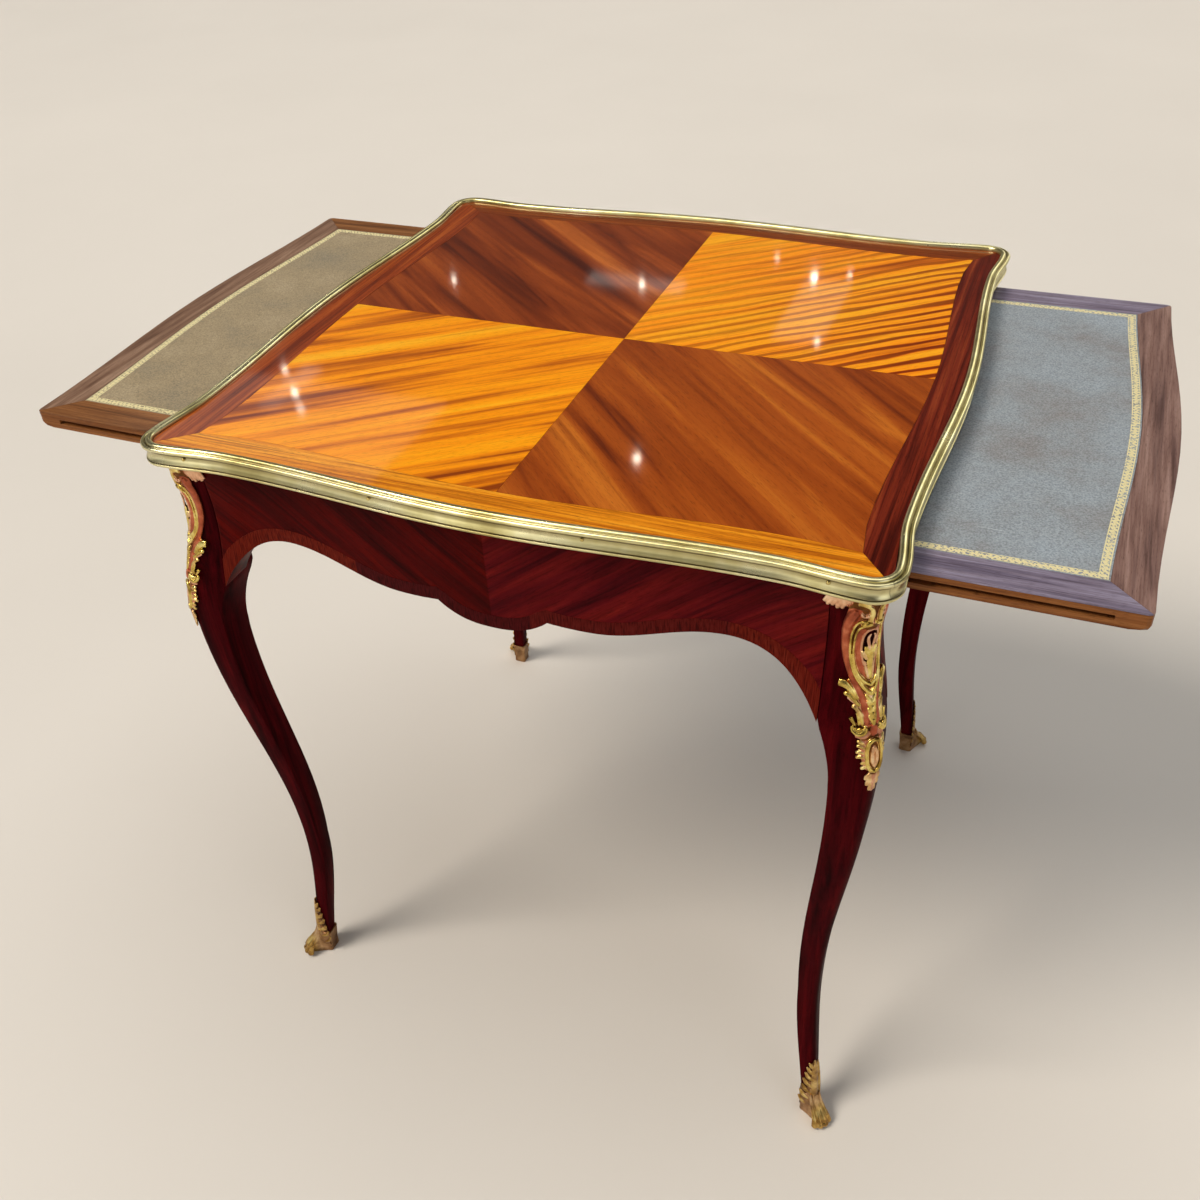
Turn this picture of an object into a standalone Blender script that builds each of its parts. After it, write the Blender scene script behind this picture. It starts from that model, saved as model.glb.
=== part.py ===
# Cabaret table in the Louis XV manner: a serpentine veneered top in a brass edge moulding, four scalloped
# aprons, four cabriole legs with gilt corner mounts and shoes, and two leather-lined slides, both pulled out.
# Metres, +Z up. The origin is on the floor under the middle of the table, X to the right, Y to the back.
import math

import bmesh
import bpy
from mathutils import Vector

# Clearances
FIT = 0.0003                     # between pieces that touch
MOUNT_FIT = 0.0005               # between the wood and the mounts cast to wrap it
TONGUE_FIT = 0.0005              # round the runner's tongue in the slide's groove
SLIDE_CLEARANCE = 0.002          # above the slide
REST_CLEARANCE = 0.001           # under the slide, over the side apron

# Plan of the top over the moulding: half widths at the middle, at the waist and at the ears by the corners
TOP_HEIGHT = 0.750
EDGE_MIDDLE_X = 0.344
EDGE_WAIST_X = 0.333
EDGE_EAR_X = 0.339
EDGE_MIDDLE_Y = 0.333
EDGE_WAIST_Y = 0.321
EDGE_EAR_Y = 0.326
WAIST_FROM_MIDDLE_X = 0.245      # along the front and back edges
WAIST_FROM_MIDDLE_Y = 0.235      # along the left and right edges
EDGE_CORNER_RADIUS = 0.026

# Brass edge moulding
MOULDING_HEIGHT = 0.0205
LIP_WIDTH = 0.0105
LIP_STAND = 0.004                # the lip's height over the wood

# Top board and its veneer
TOP_THICKNESS = 0.0225           # from the underside to the lip
VENEER = 0.0012
BAND_WIDTH = 0.030
FIELD_SHIFT = 0.0045             # the veneered field sits a little right of the middle
CROSS_SHIFT = 0.0065             # and so does the meeting point of the four leaves

# Aprons
APRON_OVERHANG = 0.019           # from the moulding's outside to the apron's face
APRON_THICKNESS = 0.020          # at the waist
MIDDLE_LOBE_DROP = 0.1083        # lowest point of the scalloped edge, below the top board
CUSP_DROP = 0.0913
SIDE_LOBE_DROP = 0.0938
ARCH_DROP = 0.0713
CUSP_AT = 0.052                  # distances from the apron's middle
SIDE_LOBE_AT = 0.092
LOBE_FULLNESS = 2.6
ARCH_TOP_FROM_POST = 0.080
ARCH_REACH = 0.094               # half width and height of the ellipse that runs on into the leg
ARCH_RISE = 0.1262
SPANDREL_FLOW = 0.060            # length in which the apron's foot flows out to the knee
TENON_LENGTH = 0.014
TENON_THICKNESS = 0.009
TENON_SETBACK = 0.006            # from the apron's inner face
TENON_SHOULDER = 0.010
TENON_DEPTH = 0.045

# Legs: outer corner of the square post, then the cabriole curve in the diagonal plane
POST_SETBACK_X = 0.017           # of the post's outer corner from the moulding's outside at the ear
POST_SETBACK_Y = 0.020
POST_WIDTH = 0.037
NECK_DROP = 0.050                # the neck, where the corner is drawn in between post and knee
NECK_INSET = 0.003
KNEE_DROP = 0.1675               # the knee, below the top board
KNEE_BULGE = 0.014
ANKLE_HEIGHT = 0.200
ANKLE_INSET = 0.0154
ANKLE_WIDTH = 0.0207
FOOT_INSET = 0.0045
FOOT_WIDTH = 0.0125
SHANK_TAPER = 0.047              # growth of the width for each metre above the ankle
ARRIS_RADIUS = 0.003
EDGE_EASING = 0.0016

# Gilt shoes
SOLE_THICKNESS = 0.010
SHOE_WALL = 0.0022
SHOE_LEAF_HEIGHT = 0.093
SHOE_HEADROOM = 0.006            # solid above the leaf, before its outline is cut
SHOE_CUT_REACH = 0.060           # of that cut, wider than the shoe
TOE_REACH = 0.020
TOE_HEIGHT = 0.020
KNUCKLE_RADIUS = 0.0062
KNUCKLE_SPREAD = 0.0088

# Gilt corner mounts, laid out flat: distances from the arris and heights below the top board
MOUNT_TOP_GAP = 0.0006
PLATE_THICKNESS = 0.0014
RIB_SEAT = 0.0005                # middle of the first rib, out from the back of the plate
RIB_LAYER = 0.00013              # each later rib lies this much further out
STRAP_RADIUS = 0.0042
RIB_RADIUS = 0.0027
LEAF_RADIUS = 0.0030
SCROLL_RADIUS = 0.0022
MOUNT_LENGTH = 0.190
MOUNT_DRAWN = 0.190              # length at which the mount's outline and ribs are drawn below
MOUNT_NECK = 0.0345              # width of each half on the side face, below the leaf under the moulding
FRONT_REACH = 0.050              # width of that leaf on the front or back face
SIDE_REACH = 0.0358              # and on the side face, beside the slide
HEAD_SINK = 0.008                # lowering of the mount's head, clear of the overhanging moulding
HEAD_RAMP = 0.003                # from its top edge
HEAD_KEPT = 0.040                # the lowering fades from here on
HEAD_FADE = 0.125
HEAD_SHARE = 0.80                # of the drawn width, kept at the top edge
WAIST_SHARE = 0.63               # beside the piercing
TIP_SHARE = 0.88
WAIST_START = 0.014              # drop at which the narrow part begins
WAIST_END = 0.060                # and from which it widens again
WAIST_FADE = 0.100
MOUNT_BACK_CUT = 0.00015         # taken off the back of the casting to flatten it

# Slides
SLIDE_TRAVEL = 0.186
SLIDE_SIDE_CLEARANCE = 0.001     # between the slide's long edges and the posts
SLIDE_THICKNESS = 0.016
SLIDE_BOW = 0.013
SLIDE_SETBACK = 0.012            # of the closed slide's outer end from the moulding's outside
SLIDE_INNER_END = 0.012          # of the closed slide, from the middle of the table
SLIDE_CORNER = 0.004
SLIDE_BAND = 0.0315
GROOVE_HEIGHT = 0.0045
GROOVE_DEPTH = 0.007
GROOVE_DROP = 0.0062             # from the slide's top face to the groove
GROOVE_STOP = 0.025              # plain end of the edge, past the groove
LEATHER_THICKNESS = 0.0010
SLIDE_NOSE = 0.004               # rounding under the slide's outer end

# Inner carcass
RAIL_HALF_WIDTH = 0.010
RAIL_HEIGHT = 0.036
STOP_LENGTH = 0.060
STOP_WIDTH = 0.015
STOP_HEIGHT = 0.0125
BLOCK_SIZE = 0.018
BLOCK_LENGTH = 0.038

EDGE_STEPS = 16                  # facets along a serpentine side
ARC_STEPS = 3                    # facets in half a corner

UNDERSIDE = TOP_HEIGHT - TOP_THICKNESS
WOOD_TOP = TOP_HEIGHT - LIP_STAND
SLIDE_TOP = UNDERSIDE - SLIDE_CLEARANCE
SLIDE_BOTTOM = SLIDE_TOP - SLIDE_THICKNESS
ARC_CENTRE_X = EDGE_EAR_X - EDGE_CORNER_RADIUS
ARC_CENTRE_Y = EDGE_EAR_Y - EDGE_CORNER_RADIUS
POST_CORNER_X = EDGE_EAR_X - POST_SETBACK_X
POST_CORNER_Y = EDGE_EAR_Y - POST_SETBACK_Y
POST_INNER_X = POST_CORNER_X - POST_WIDTH
POST_INNER_Y = POST_CORNER_Y - POST_WIDTH
SLIDE_HALF_DEPTH = POST_INNER_Y - SLIDE_SIDE_CLEARANCE
APRON_BACK_X = EDGE_WAIST_X - APRON_OVERHANG - APRON_THICKNESS
APRON_BACK_Y = EDGE_WAIST_Y - APRON_OVERHANG - APRON_THICKNESS
MOUNT_STRETCH = MOUNT_LENGTH / MOUNT_DRAWN
SIDE_NAMES = {(0, -1): "front", (0, 1): "back", (-1, 0): "left", (1, 0): "right"}
CORNER_NAMES = {(-1, -1): "front_left", (1, -1): "front_right", (-1, 1): "back_left", (1, 1): "back_right"}

for thing in list(bpy.data.objects):
    bpy.data.objects.remove(thing, do_unlink=True)

table = bpy.data.collections.new("cabaret_table")
tools = bpy.data.collections.new("cutters")
bpy.context.scene.collection.children.link(table)
bpy.context.scene.collection.children.link(tools)


# Materials
def make_material(name, colour, roughness, metallic=0.0):
    made = bpy.data.materials.new(name)
    made.use_nodes = True
    shader = made.node_tree.nodes["Principled BSDF"]
    shader.inputs["Base Color"].default_value = (*colour, 1.0)
    shader.inputs["Roughness"].default_value = roughness
    shader.inputs["Metallic"].default_value = metallic
    made.diffuse_color = (*colour, 1.0)
    return made


# Objects and meshes
def add_object(name, mesh, material=None, collection=table):
    thing = bpy.data.objects.new(name, mesh)
    collection.objects.link(thing)
    if material:
        mesh.materials.clear()
        mesh.materials.append(material)
    return thing


def mesh_from(build, name):
    mesh = bpy.data.meshes.new(name)
    build.to_mesh(mesh)
    build.free()
    return mesh


def curve_to_mesh(thing, name):
    bpy.context.view_layer.update()
    evaluated = thing.evaluated_get(bpy.context.evaluated_depsgraph_get())
    mesh = bpy.data.meshes.new_from_object(evaluated)
    mesh.name = name
    mesh.transform(thing.matrix_world)
    curve = thing.data
    bpy.data.objects.remove(thing, do_unlink=True)
    bpy.data.curves.remove(curve)
    build = bmesh.new()
    build.from_mesh(mesh)
    bmesh.ops.remove_doubles(build, verts=build.verts, dist=0.00001)
    bmesh.ops.recalc_face_normals(build, faces=build.faces)
    build.to_mesh(mesh)
    build.free()
    return mesh


def outline_slab(name, points, low, high):
    # A flat outline filled and extruded upwards from one height to another
    curve = bpy.data.curves.new(name, "CURVE")
    curve.dimensions = "2D"
    curve.fill_mode = "BOTH"
    curve.extrude = (high - low) / 2
    spline = curve.splines.new("POLY")
    spline.points.add(len(points) - 1)
    for point, place in zip(spline.points, points):
        point.co = (place[0], place[1], 0, 1)
    spline.use_cyclic_u = True
    thing = bpy.data.objects.new(name, curve)
    tools.objects.link(thing)
    thing.location.z = (low + high) / 2
    return curve_to_mesh(thing, name)


def turn_upright(mesh, facing):
    # An outline drawn as across and height, now standing and extruded along Y, or along X for a side piece
    for vertex in mesh.vertices:
        across, height, through = vertex.co
        vertex.co = (across, through, height) if facing == "y" else (through, across, height)
    build = bmesh.new()
    build.from_mesh(mesh)
    bmesh.ops.recalc_face_normals(build, faces=build.faces)
    build.to_mesh(mesh)
    build.free()
    return mesh


def box_mesh(name, low, high):
    build = bmesh.new()
    bmesh.ops.create_cube(build, size=1.0)
    for vertex in build.verts:
        for axis in range(3):
            vertex.co[axis] = high[axis] if vertex.co[axis] > 0 else low[axis]
    return mesh_from(build, name)


def scale_mesh(mesh, factor):
    for vertex in mesh.vertices:
        vertex.co *= factor


def combine(mesh, other, operation):
    # Boolean of two meshes, kept as a plain mesh and worked in millimetres, where small castings cut cleanly
    scale_mesh(mesh, 1000)
    scale_mesh(other, 1000)
    base = add_object("base", mesh, collection=tools)
    tool = add_object("tool", other, collection=tools)
    modifier = base.modifiers.new("join", "BOOLEAN")
    modifier.operation = operation
    modifier.solver = "EXACT"
    modifier.object = tool
    bpy.context.view_layer.update()
    evaluated = base.evaluated_get(bpy.context.evaluated_depsgraph_get())
    made = bpy.data.meshes.new_from_object(evaluated)
    made.name = mesh.name
    scale_mesh(made, 0.001)
    for thing in (base, tool):
        data = thing.data
        bpy.data.objects.remove(thing, do_unlink=True)
        bpy.data.meshes.remove(data)
    return made


def signed_copy(mesh, name, sign_x, sign_y):
    # Mirrors a mesh made for the back right corner into another corner
    copy = mesh.copy()
    copy.name = name
    for vertex in copy.vertices:
        vertex.co.x *= sign_x
        vertex.co.y *= sign_y
    if sign_x * sign_y < 0:
        copy.flip_normals()
    return copy


def ease(share):
    return 0.5 - 0.5 * math.cos(math.pi * max(0.0, min(1.0, share)))


# The serpentine plan
def serpentine(along, middle, waist, ear, waist_at, ear_at):
    along = abs(along)
    if along <= waist_at:
        return middle + (waist - middle) * ease(along / waist_at)
    return waist + (ear - waist) * ease((along - waist_at) / (ear_at - waist_at))


def edge_x(y):
    return serpentine(y, EDGE_MIDDLE_X, EDGE_WAIST_X, EDGE_EAR_X, WAIST_FROM_MIDDLE_Y, ARC_CENTRE_Y)


def edge_y(x):
    return serpentine(x, EDGE_MIDDLE_Y, EDGE_WAIST_Y, EDGE_EAR_Y, WAIST_FROM_MIDDLE_X, ARC_CENTRE_X)


def spread(low, high, steps):
    return [low + (high - low) * step / steps for step in range(steps + 1)]


def side_run(way_x, way_y, inset, trim=0.0, beyond=0):
    # One side of the outline from corner mitre to corner mitre, or some steps beyond, set in from the outside
    reach, centre = (ARC_CENTRE_Y, ARC_CENTRE_X) if way_x else (ARC_CENTRE_X, ARC_CENTRE_Y)
    edge = edge_x if way_x else edge_y
    radius = EDGE_CORNER_RADIUS - inset
    half = [(edge(across) - inset, across) for across in spread(0, reach, EDGE_STEPS // 2)]
    half += [(centre + radius * math.cos(angle), reach + radius * math.sin(angle))
             for angle in spread(0, math.pi / 4 * (ARC_STEPS + beyond) / ARC_STEPS, ARC_STEPS + beyond)[1:]]
    half[-1] = (half[-1][0] + trim, half[-1][1] - trim)
    run = [(out, -across) for out, across in reversed(half[1:])] + half
    return [(way_x * out, across) if way_x else (across, way_y * out) for out, across in run]


def table_outline(inset):
    right = side_run(1, 0, inset)
    back = side_run(0, 1, inset)[::-1]
    left = side_run(-1, 0, inset)[::-1]
    front = side_run(0, -1, inset)
    return right[:-1] + back[:-1] + left[:-1] + front[:-1]


def field_corner(inset):
    # Where two sides of the veneered field meet, by a few steps of substitution
    x, y = EDGE_WAIST_X - inset, EDGE_WAIST_Y - inset
    for _ in range(6):
        x, y = edge_x(y) - inset, edge_y(x) - inset
    return x, y


# Top board, veneer leaves and bands
def make_top(board_material, leaf_materials, band_material):
    core_top = WOOD_TOP - VENEER - FIT
    board = outline_slab("top_board", table_outline(LIP_WIDTH + FIT), UNDERSIDE, core_top)
    add_object("top_board", board, board_material)
    low = WOOD_TOP - VENEER
    inset = LIP_WIDTH + BAND_WIDTH
    field = inset + FIT
    corner_x, corner_y = field_corner(field)
    for (sign_x, sign_y), where in CORNER_NAMES.items():
        gap_x = CROSS_SHIFT + sign_x * FIT / 2
        gap_y = sign_y * FIT / 2
        side = [(FIELD_SHIFT + sign_x * (edge_x(y) - field), sign_y * y)
                for y in spread(0, corner_y, EDGE_STEPS // 2)]
        end = [(FIELD_SHIFT + sign_x * x, sign_y * (edge_y(x) - field))
               for x in spread(corner_x, 0, EDGE_STEPS // 2)]
        points = [(gap_x, gap_y), (side[0][0], gap_y)] + side[1:] + end[1:-1]
        points += [(gap_x, sign_y * (edge_y(0) - field))]
        name = "veneer_" + where
        add_object(name, outline_slab(name, points, low, WOOD_TOP), leaf_materials[where])
    corner_x, corner_y = field_corner(inset)
    for (way_x, way_y), where in SIDE_NAMES.items():
        points = side_run(way_x, way_y, LIP_WIDTH + FIT, FIT / 2)
        if way_x:
            points += [(FIELD_SHIFT + way_x * (edge_x(y) - inset), y)
                       for y in spread(corner_y - FIT / 2, FIT / 2 - corner_y, EDGE_STEPS)]
        else:
            points += [(FIELD_SHIFT + x, way_y * (edge_y(x) - inset))
                       for x in spread(corner_x - FIT / 2, FIT / 2 - corner_x, EDGE_STEPS)]
        name = "band_" + where
        add_object(name, outline_slab(name, points, low, WOOD_TOP), band_material)


# Brass moulding: section drawn as inset from the outside and drop below the lip
MOULDING_SECTION = [
    (LIP_WIDTH, MOULDING_HEIGHT),
    (LIP_WIDTH, 0.0010),
    (LIP_WIDTH - 0.0016, 0.0),
    (0.0052, 0.0),
    (0.0038, 0.0014),
    (0.0012, 0.0016),
    (0.0, 0.0034),
    (0.0014, 0.0052),
    (0.0034, 0.0105),
    (0.0024, 0.0165),
    (0.0034, 0.0172),
    (0.0024, 0.0180),
    (0.0026, MOULDING_HEIGHT),
]


def poly_curve(name, points, cyclic):
    curve = bpy.data.curves.new(name, "CURVE")
    curve.dimensions = "3D"
    spline = curve.splines.new("POLY")
    spline.points.add(len(points) - 1)
    for point, place in zip(spline.points, points):
        point.co = (*place, 1)
    spline.use_cyclic_u = cyclic
    thing = bpy.data.objects.new(name, curve)
    tools.objects.link(thing)
    return thing


def make_moulding(material):
    # The section swept along each side a little past both corners, then sawn off at the mitres
    section = poly_curve("moulding_section", [(-inset, -drop, 0) for inset, drop in MOULDING_SECTION], True)
    for (way_x, way_y), where in SIDE_NAMES.items():
        run = side_run(way_x, way_y, 0.0, beyond=1)
        if way_x - way_y < 0:
            run.reverse()
        name = "edge_moulding_" + where
        path = poly_curve(name, [(x, y, TOP_HEIGHT) for x, y in run], False)
        path.data.twist_mode = "Z_UP"
        path.data.bevel_mode = "OBJECT"
        path.data.bevel_object = section
        path.data.use_fill_caps = True
        build = bmesh.new()
        build.from_mesh(curve_to_mesh(path, name))
        reach, centre = (ARC_CENTRE_Y, ARC_CENTRE_X) if way_x else (ARC_CENTRE_X, ARC_CENTRE_Y)
        outward = Vector((way_x, way_y, 0))
        along = Vector((abs(way_y), abs(way_x), 0))
        for end in (-1, 1):
            saw = (end * along - outward).normalized()
            place = centre * outward + end * reach * along - saw * FIT / 2
            whole = build.verts[:] + build.edges[:] + build.faces[:]
            cut = bmesh.ops.bisect_plane(build, geom=whole, dist=0.000001,
                                         plane_co=place, plane_no=saw, clear_outer=True)["geom_cut"]
            rim = [piece for piece in cut if isinstance(piece, bmesh.types.BMEdge)]
            bmesh.ops.contextual_create(build, geom=rim)
        add_object(name, mesh_from(build, name), material)
    bpy.data.objects.remove(section, do_unlink=True)


# The scalloped lower edge, as height at a distance from the apron's middle
def scallop(across, half_span):
    across = abs(across)
    arch_at = half_span - ARCH_TOP_FROM_POST
    if across <= CUSP_AT:
        drop = MIDDLE_LOBE_DROP - (MIDDLE_LOBE_DROP - CUSP_DROP) * (across / CUSP_AT) ** LOBE_FULLNESS
    elif across <= SIDE_LOBE_AT:
        share = (SIDE_LOBE_AT - across) / (SIDE_LOBE_AT - CUSP_AT)
        drop = SIDE_LOBE_DROP - (SIDE_LOBE_DROP - CUSP_DROP) * share * share
    elif across <= arch_at:
        share = ease((across - SIDE_LOBE_AT) / (arch_at - SIDE_LOBE_AT))
        drop = SIDE_LOBE_DROP + (ARCH_DROP - SIDE_LOBE_DROP) * share
    else:
        share = min(1.0, (across - arch_at) / ARCH_REACH)
        drop = ARCH_DROP + ARCH_RISE * (1 - math.sqrt(1 - share * share))
    return UNDERSIDE - drop


def scallop_stations(half_span):
    arch_at = half_span - ARCH_TOP_FROM_POST
    half = spread(0, CUSP_AT, 4)
    half += spread(CUSP_AT, SIDE_LOBE_AT, 2)[1:]
    half += spread(SIDE_LOBE_AT, arch_at, 5)[1:]
    half += [arch_at + (half_span - arch_at) * math.sin(math.pi / 2 * step / 6) for step in range(1, 7)]
    return [-place for place in reversed(half[1:])] + half


def flow_to_legs(mesh, facing, way, end, middle):
    # Beside each leg the apron's face bends with the post, in at the neck and out to the knee
    along, outward = (1, 0) if facing == "x" else (0, 1)
    post = POST_CORNER_X if facing == "x" else POST_CORNER_Y
    start = end - SPANDREL_FLOW
    build = bmesh.new()
    build.from_mesh(mesh)
    for height in LEG_HEIGHTS:
        beside = [face for face in build.faces if max(abs(vertex.co[along]) for vertex in face.verts) > start
                  and all(way * vertex.co[outward] > middle for vertex in face.verts)]
        edges = list({edge for face in beside for edge in face.edges})
        corners = list({vertex for face in beside for vertex in face.verts})
        bmesh.ops.bisect_plane(build, geom=corners + edges + beside, dist=0.00001,
                               plane_co=(0, 0, height), plane_no=(0, 0, 1))
    for vertex in build.verts:
        out = way * vertex.co[outward]
        if out > middle:
            near = ease((abs(vertex.co[along]) - start) / SPANDREL_FLOW)
            vertex.co[outward] = way * (out + near * (post - ringed_inset(vertex.co.z) - FIT - out))
    return mesh_from(build, mesh.name)


def make_apron(way_x, way_y, material):
    name = "apron_" + SIDE_NAMES[(way_x, way_y)]
    facing = "x" if way_x else "y"
    half_span = POST_INNER_Y if way_x else POST_INNER_X
    end = half_span - FIT
    top = SLIDE_BOTTOM - REST_CLEARANCE if way_x else UNDERSIDE - FIT
    back = APRON_BACK_X if way_x else APRON_BACK_Y
    edge = edge_x if way_x else edge_y
    way = way_x or way_y
    deepest = back + 2 * APRON_THICKNESS
    # Front elevation, then cut to the bowed plan
    lower = [(max(-end, min(end, across)), scallop(across, half_span))
             for across in scallop_stations(half_span)]
    elevation = outline_slab(name, lower + [(end, top), (-end, top)], min(way * back, way * deepest),
                             max(way * back, way * deepest))
    elevation = turn_upright(elevation, facing)
    outside = [(across, way * (edge(across) - APRON_OVERHANG))
               for across in spread(-half_span, half_span, EDGE_STEPS)]
    inside = [(half_span, way * (back - APRON_THICKNESS)), (-half_span, way * (back - APRON_THICKNESS))]
    plan = outside + inside
    if way_x:
        plan = [(out, across) for across, out in plan]
    apron = combine(elevation, outline_slab("plan", plan, 0, TOP_HEIGHT), "INTERSECT")
    apron = flow_to_legs(apron, facing, way, end, back + APRON_THICKNESS / 2)
    # Tenons into the posts
    for side in (-1, 1):
        across_low, across_high = sorted((side * (end - TENON_LENGTH / 4), side * (end + TENON_LENGTH)))
        near = back + TENON_SETBACK
        out_low, out_high = sorted((way * near, way * (near + TENON_THICKNESS)))
        tenon_top = SLIDE_BOTTOM - TENON_SHOULDER
        low = (across_low, out_low) if facing == "y" else (out_low, across_low)
        high = (across_high, out_high) if facing == "y" else (out_high, across_high)
        tenon = box_mesh("tenon", (*low, tenon_top - TENON_DEPTH), (*high, tenon_top))
        apron = combine(apron, tenon, "UNION")
    add_object(name, apron, material)


# Legs, made for the back right corner
def corner_inset(height):
    # How far the outer corner stands in from the post's corner, along X and along Y alike
    knee = UNDERSIDE - KNEE_DROP
    neck = UNDERSIDE - NECK_DROP
    if height >= neck:
        return NECK_INSET * ease((UNDERSIDE - height) / NECK_DROP)
    if height >= knee:
        return NECK_INSET - (NECK_INSET + KNEE_BULGE) * ease((neck - height) / (neck - knee))
    if height >= ANKLE_HEIGHT:
        return -KNEE_BULGE + (ANKLE_INSET + KNEE_BULGE) * ease((knee - height) / (knee - ANKLE_HEIGHT))
    return ANKLE_INSET + (FOOT_INSET - ANKLE_INSET) * ease((ANKLE_HEIGHT - height) / ANKLE_HEIGHT)


def shank_width(height):
    if height >= ANKLE_HEIGHT:
        return ANKLE_WIDTH + SHANK_TAPER * (height - ANKLE_HEIGHT)
    return FOOT_WIDTH + (ANKLE_WIDTH - FOOT_WIDTH) * math.sin(math.pi / 2 * height / ANKLE_HEIGHT)


def leg_width(height):
    # The inner edge takes up the arch of the apron and turns into the straight post
    arch_foot = UNDERSIDE - ARCH_DROP - ARCH_RISE
    joint = scallop(POST_INNER_X, POST_INNER_X)
    post = POST_WIDTH - corner_inset(height)
    if height >= joint:
        return post
    if height <= arch_foot:
        return shank_width(height)
    rise = (height - arch_foot) / ARCH_RISE
    reach = ARCH_REACH * math.sqrt(1 - rise * rise) - ARCH_TOP_FROM_POST
    return min(post, max(shank_width(height), post - reach))


def leg_heights(bottom):
    knee_foot = UNDERSIDE - ARCH_DROP - ARCH_RISE
    joint = scallop(POST_INNER_X, POST_INNER_X)
    heights = spread(UNDERSIDE - FIT, joint, 7)
    heights += spread(joint, knee_foot, 4)[1:]
    heights += spread(knee_foot, ANKLE_HEIGHT, 9)[1:]
    heights += spread(ANKLE_HEIGHT, bottom, 6)[1:]
    return heights


LEG_HEIGHTS = leg_heights(SOLE_THICKNESS + FIT)


def ringed_inset(height):
    # The corner's inset between two rings of the faceted leg, as a straight line
    for above, below in zip(LEG_HEIGHTS, LEG_HEIGHTS[1:]):
        if above >= height >= below:
            share = (above - height) / (above - below)
            return corner_inset(above) * (1 - share) + corner_inset(below) * share
    return corner_inset(height)


def leg_section(height, grow=0.0):
    # Square section with an eased arris; goes round from the outer corner
    corner_x = POST_CORNER_X - ringed_inset(height) + grow
    corner_y = POST_CORNER_Y - ringed_inset(height) + grow
    width = leg_width(height) + 2 * grow
    points = []
    for angle in spread(0, math.pi / 2, 2):
        points.append((corner_x - ARRIS_RADIUS * (1 - math.cos(angle)),
                       corner_y - ARRIS_RADIUS * (1 - math.sin(angle))))
    inner_x = corner_x - width
    inner_y = corner_y - width
    points += [(inner_x + EDGE_EASING, corner_y), (inner_x, corner_y - EDGE_EASING)]
    points += [(inner_x, inner_y + EDGE_EASING), (inner_x + EDGE_EASING, inner_y)]
    points += [(corner_x - EDGE_EASING, inner_y), (corner_x, inner_y + EDGE_EASING)]
    return points


def loft(name, rings):
    # Skin over rings of equal count, closed at both ends
    build = bmesh.new()
    made = [[build.verts.new(place) for place in ring] for ring in rings]
    count = len(made[0])
    for first, second in zip(made, made[1:]):
        for index in range(count):
            after = (index + 1) % count
            build.faces.new((first[index], first[after], second[after], second[index]))
    build.faces.new(made[0])
    build.faces.new(made[-1])
    bmesh.ops.recalc_face_normals(build, faces=build.faces)
    return mesh_from(build, name)


def leg_body(name, grow=0.0, heights=None):
    heights = heights or LEG_HEIGHTS
    return loft(name, [[(x, y, height) for x, y in leg_section(height, grow)] for height in heights])


def make_legs(material):
    leg = leg_body("leg")
    tenon_top = SLIDE_BOTTOM - TENON_SHOULDER
    low_z = tenon_top - TENON_DEPTH - FIT
    high_z = tenon_top + FIT
    # Mortises for the two tenons
    near_y = APRON_BACK_Y + TENON_SETBACK
    leg = combine(leg, box_mesh("mortise", (POST_INNER_X - TENON_LENGTH, near_y - FIT, low_z),
                                (POST_INNER_X + TENON_LENGTH + FIT, near_y + TENON_THICKNESS + FIT, high_z)),
                  "DIFFERENCE")
    near_x = APRON_BACK_X + TENON_SETBACK
    leg = combine(leg, box_mesh("mortise", (near_x - FIT, POST_INNER_Y - TENON_LENGTH, low_z),
                                (near_x + TENON_THICKNESS + FIT, POST_INNER_Y + TENON_LENGTH + FIT, high_z)),
                  "DIFFERENCE")
    for (sign_x, sign_y), where in CORNER_NAMES.items():
        add_object("leg_" + where, signed_copy(leg, "leg_" + where, sign_x, sign_y), material)


# Gilt shoes
def diagonal_point(inward, across, height):
    # A place by its distance inward from the leg's corner along the diagonal, and sideways from it
    step = ringed_inset(height)
    root = math.sqrt(0.5)
    return (POST_CORNER_X - step - root * inward - root * across,
            POST_CORNER_Y - step - root * inward + root * across, height)


def shoe_ring(height, toe):
    # The leg's section grown by the wall, with the toe drawn out along the diagonal
    width = leg_width(max(height, SOLE_THICKNESS)) + 2 * SHOE_WALL
    half = width / math.sqrt(2)
    centre = half - SHOE_WALL * math.sqrt(2)
    ring = []
    for step in range(16):
        angle = math.tau * (step + 0.5) / 16
        square = half / (abs(math.cos(angle)) + abs(math.sin(angle)))
        radius = min(square, half * 0.92)
        stretch = toe * max(0.0, math.cos(angle)) ** 2
        across = radius * math.sin(angle)
        ring.append(diagonal_point(centre - radius * math.cos(angle) - stretch, across, height))
    return ring


# Serrated edge of the shoe's leaf: distance inward from the leg's corner, and share of the leaf's height
SHOE_LEAF_EDGE = [(-0.0060, 1.045), (-0.0012, 1.0), (0.0022, 0.828), (0.0052, 0.871), (0.0074, 0.645),
                  (0.0108, 0.700), (0.0126, 0.452), (0.0160, 0.505), (0.0182, 0.280), (0.0330, 0.344)]


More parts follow.
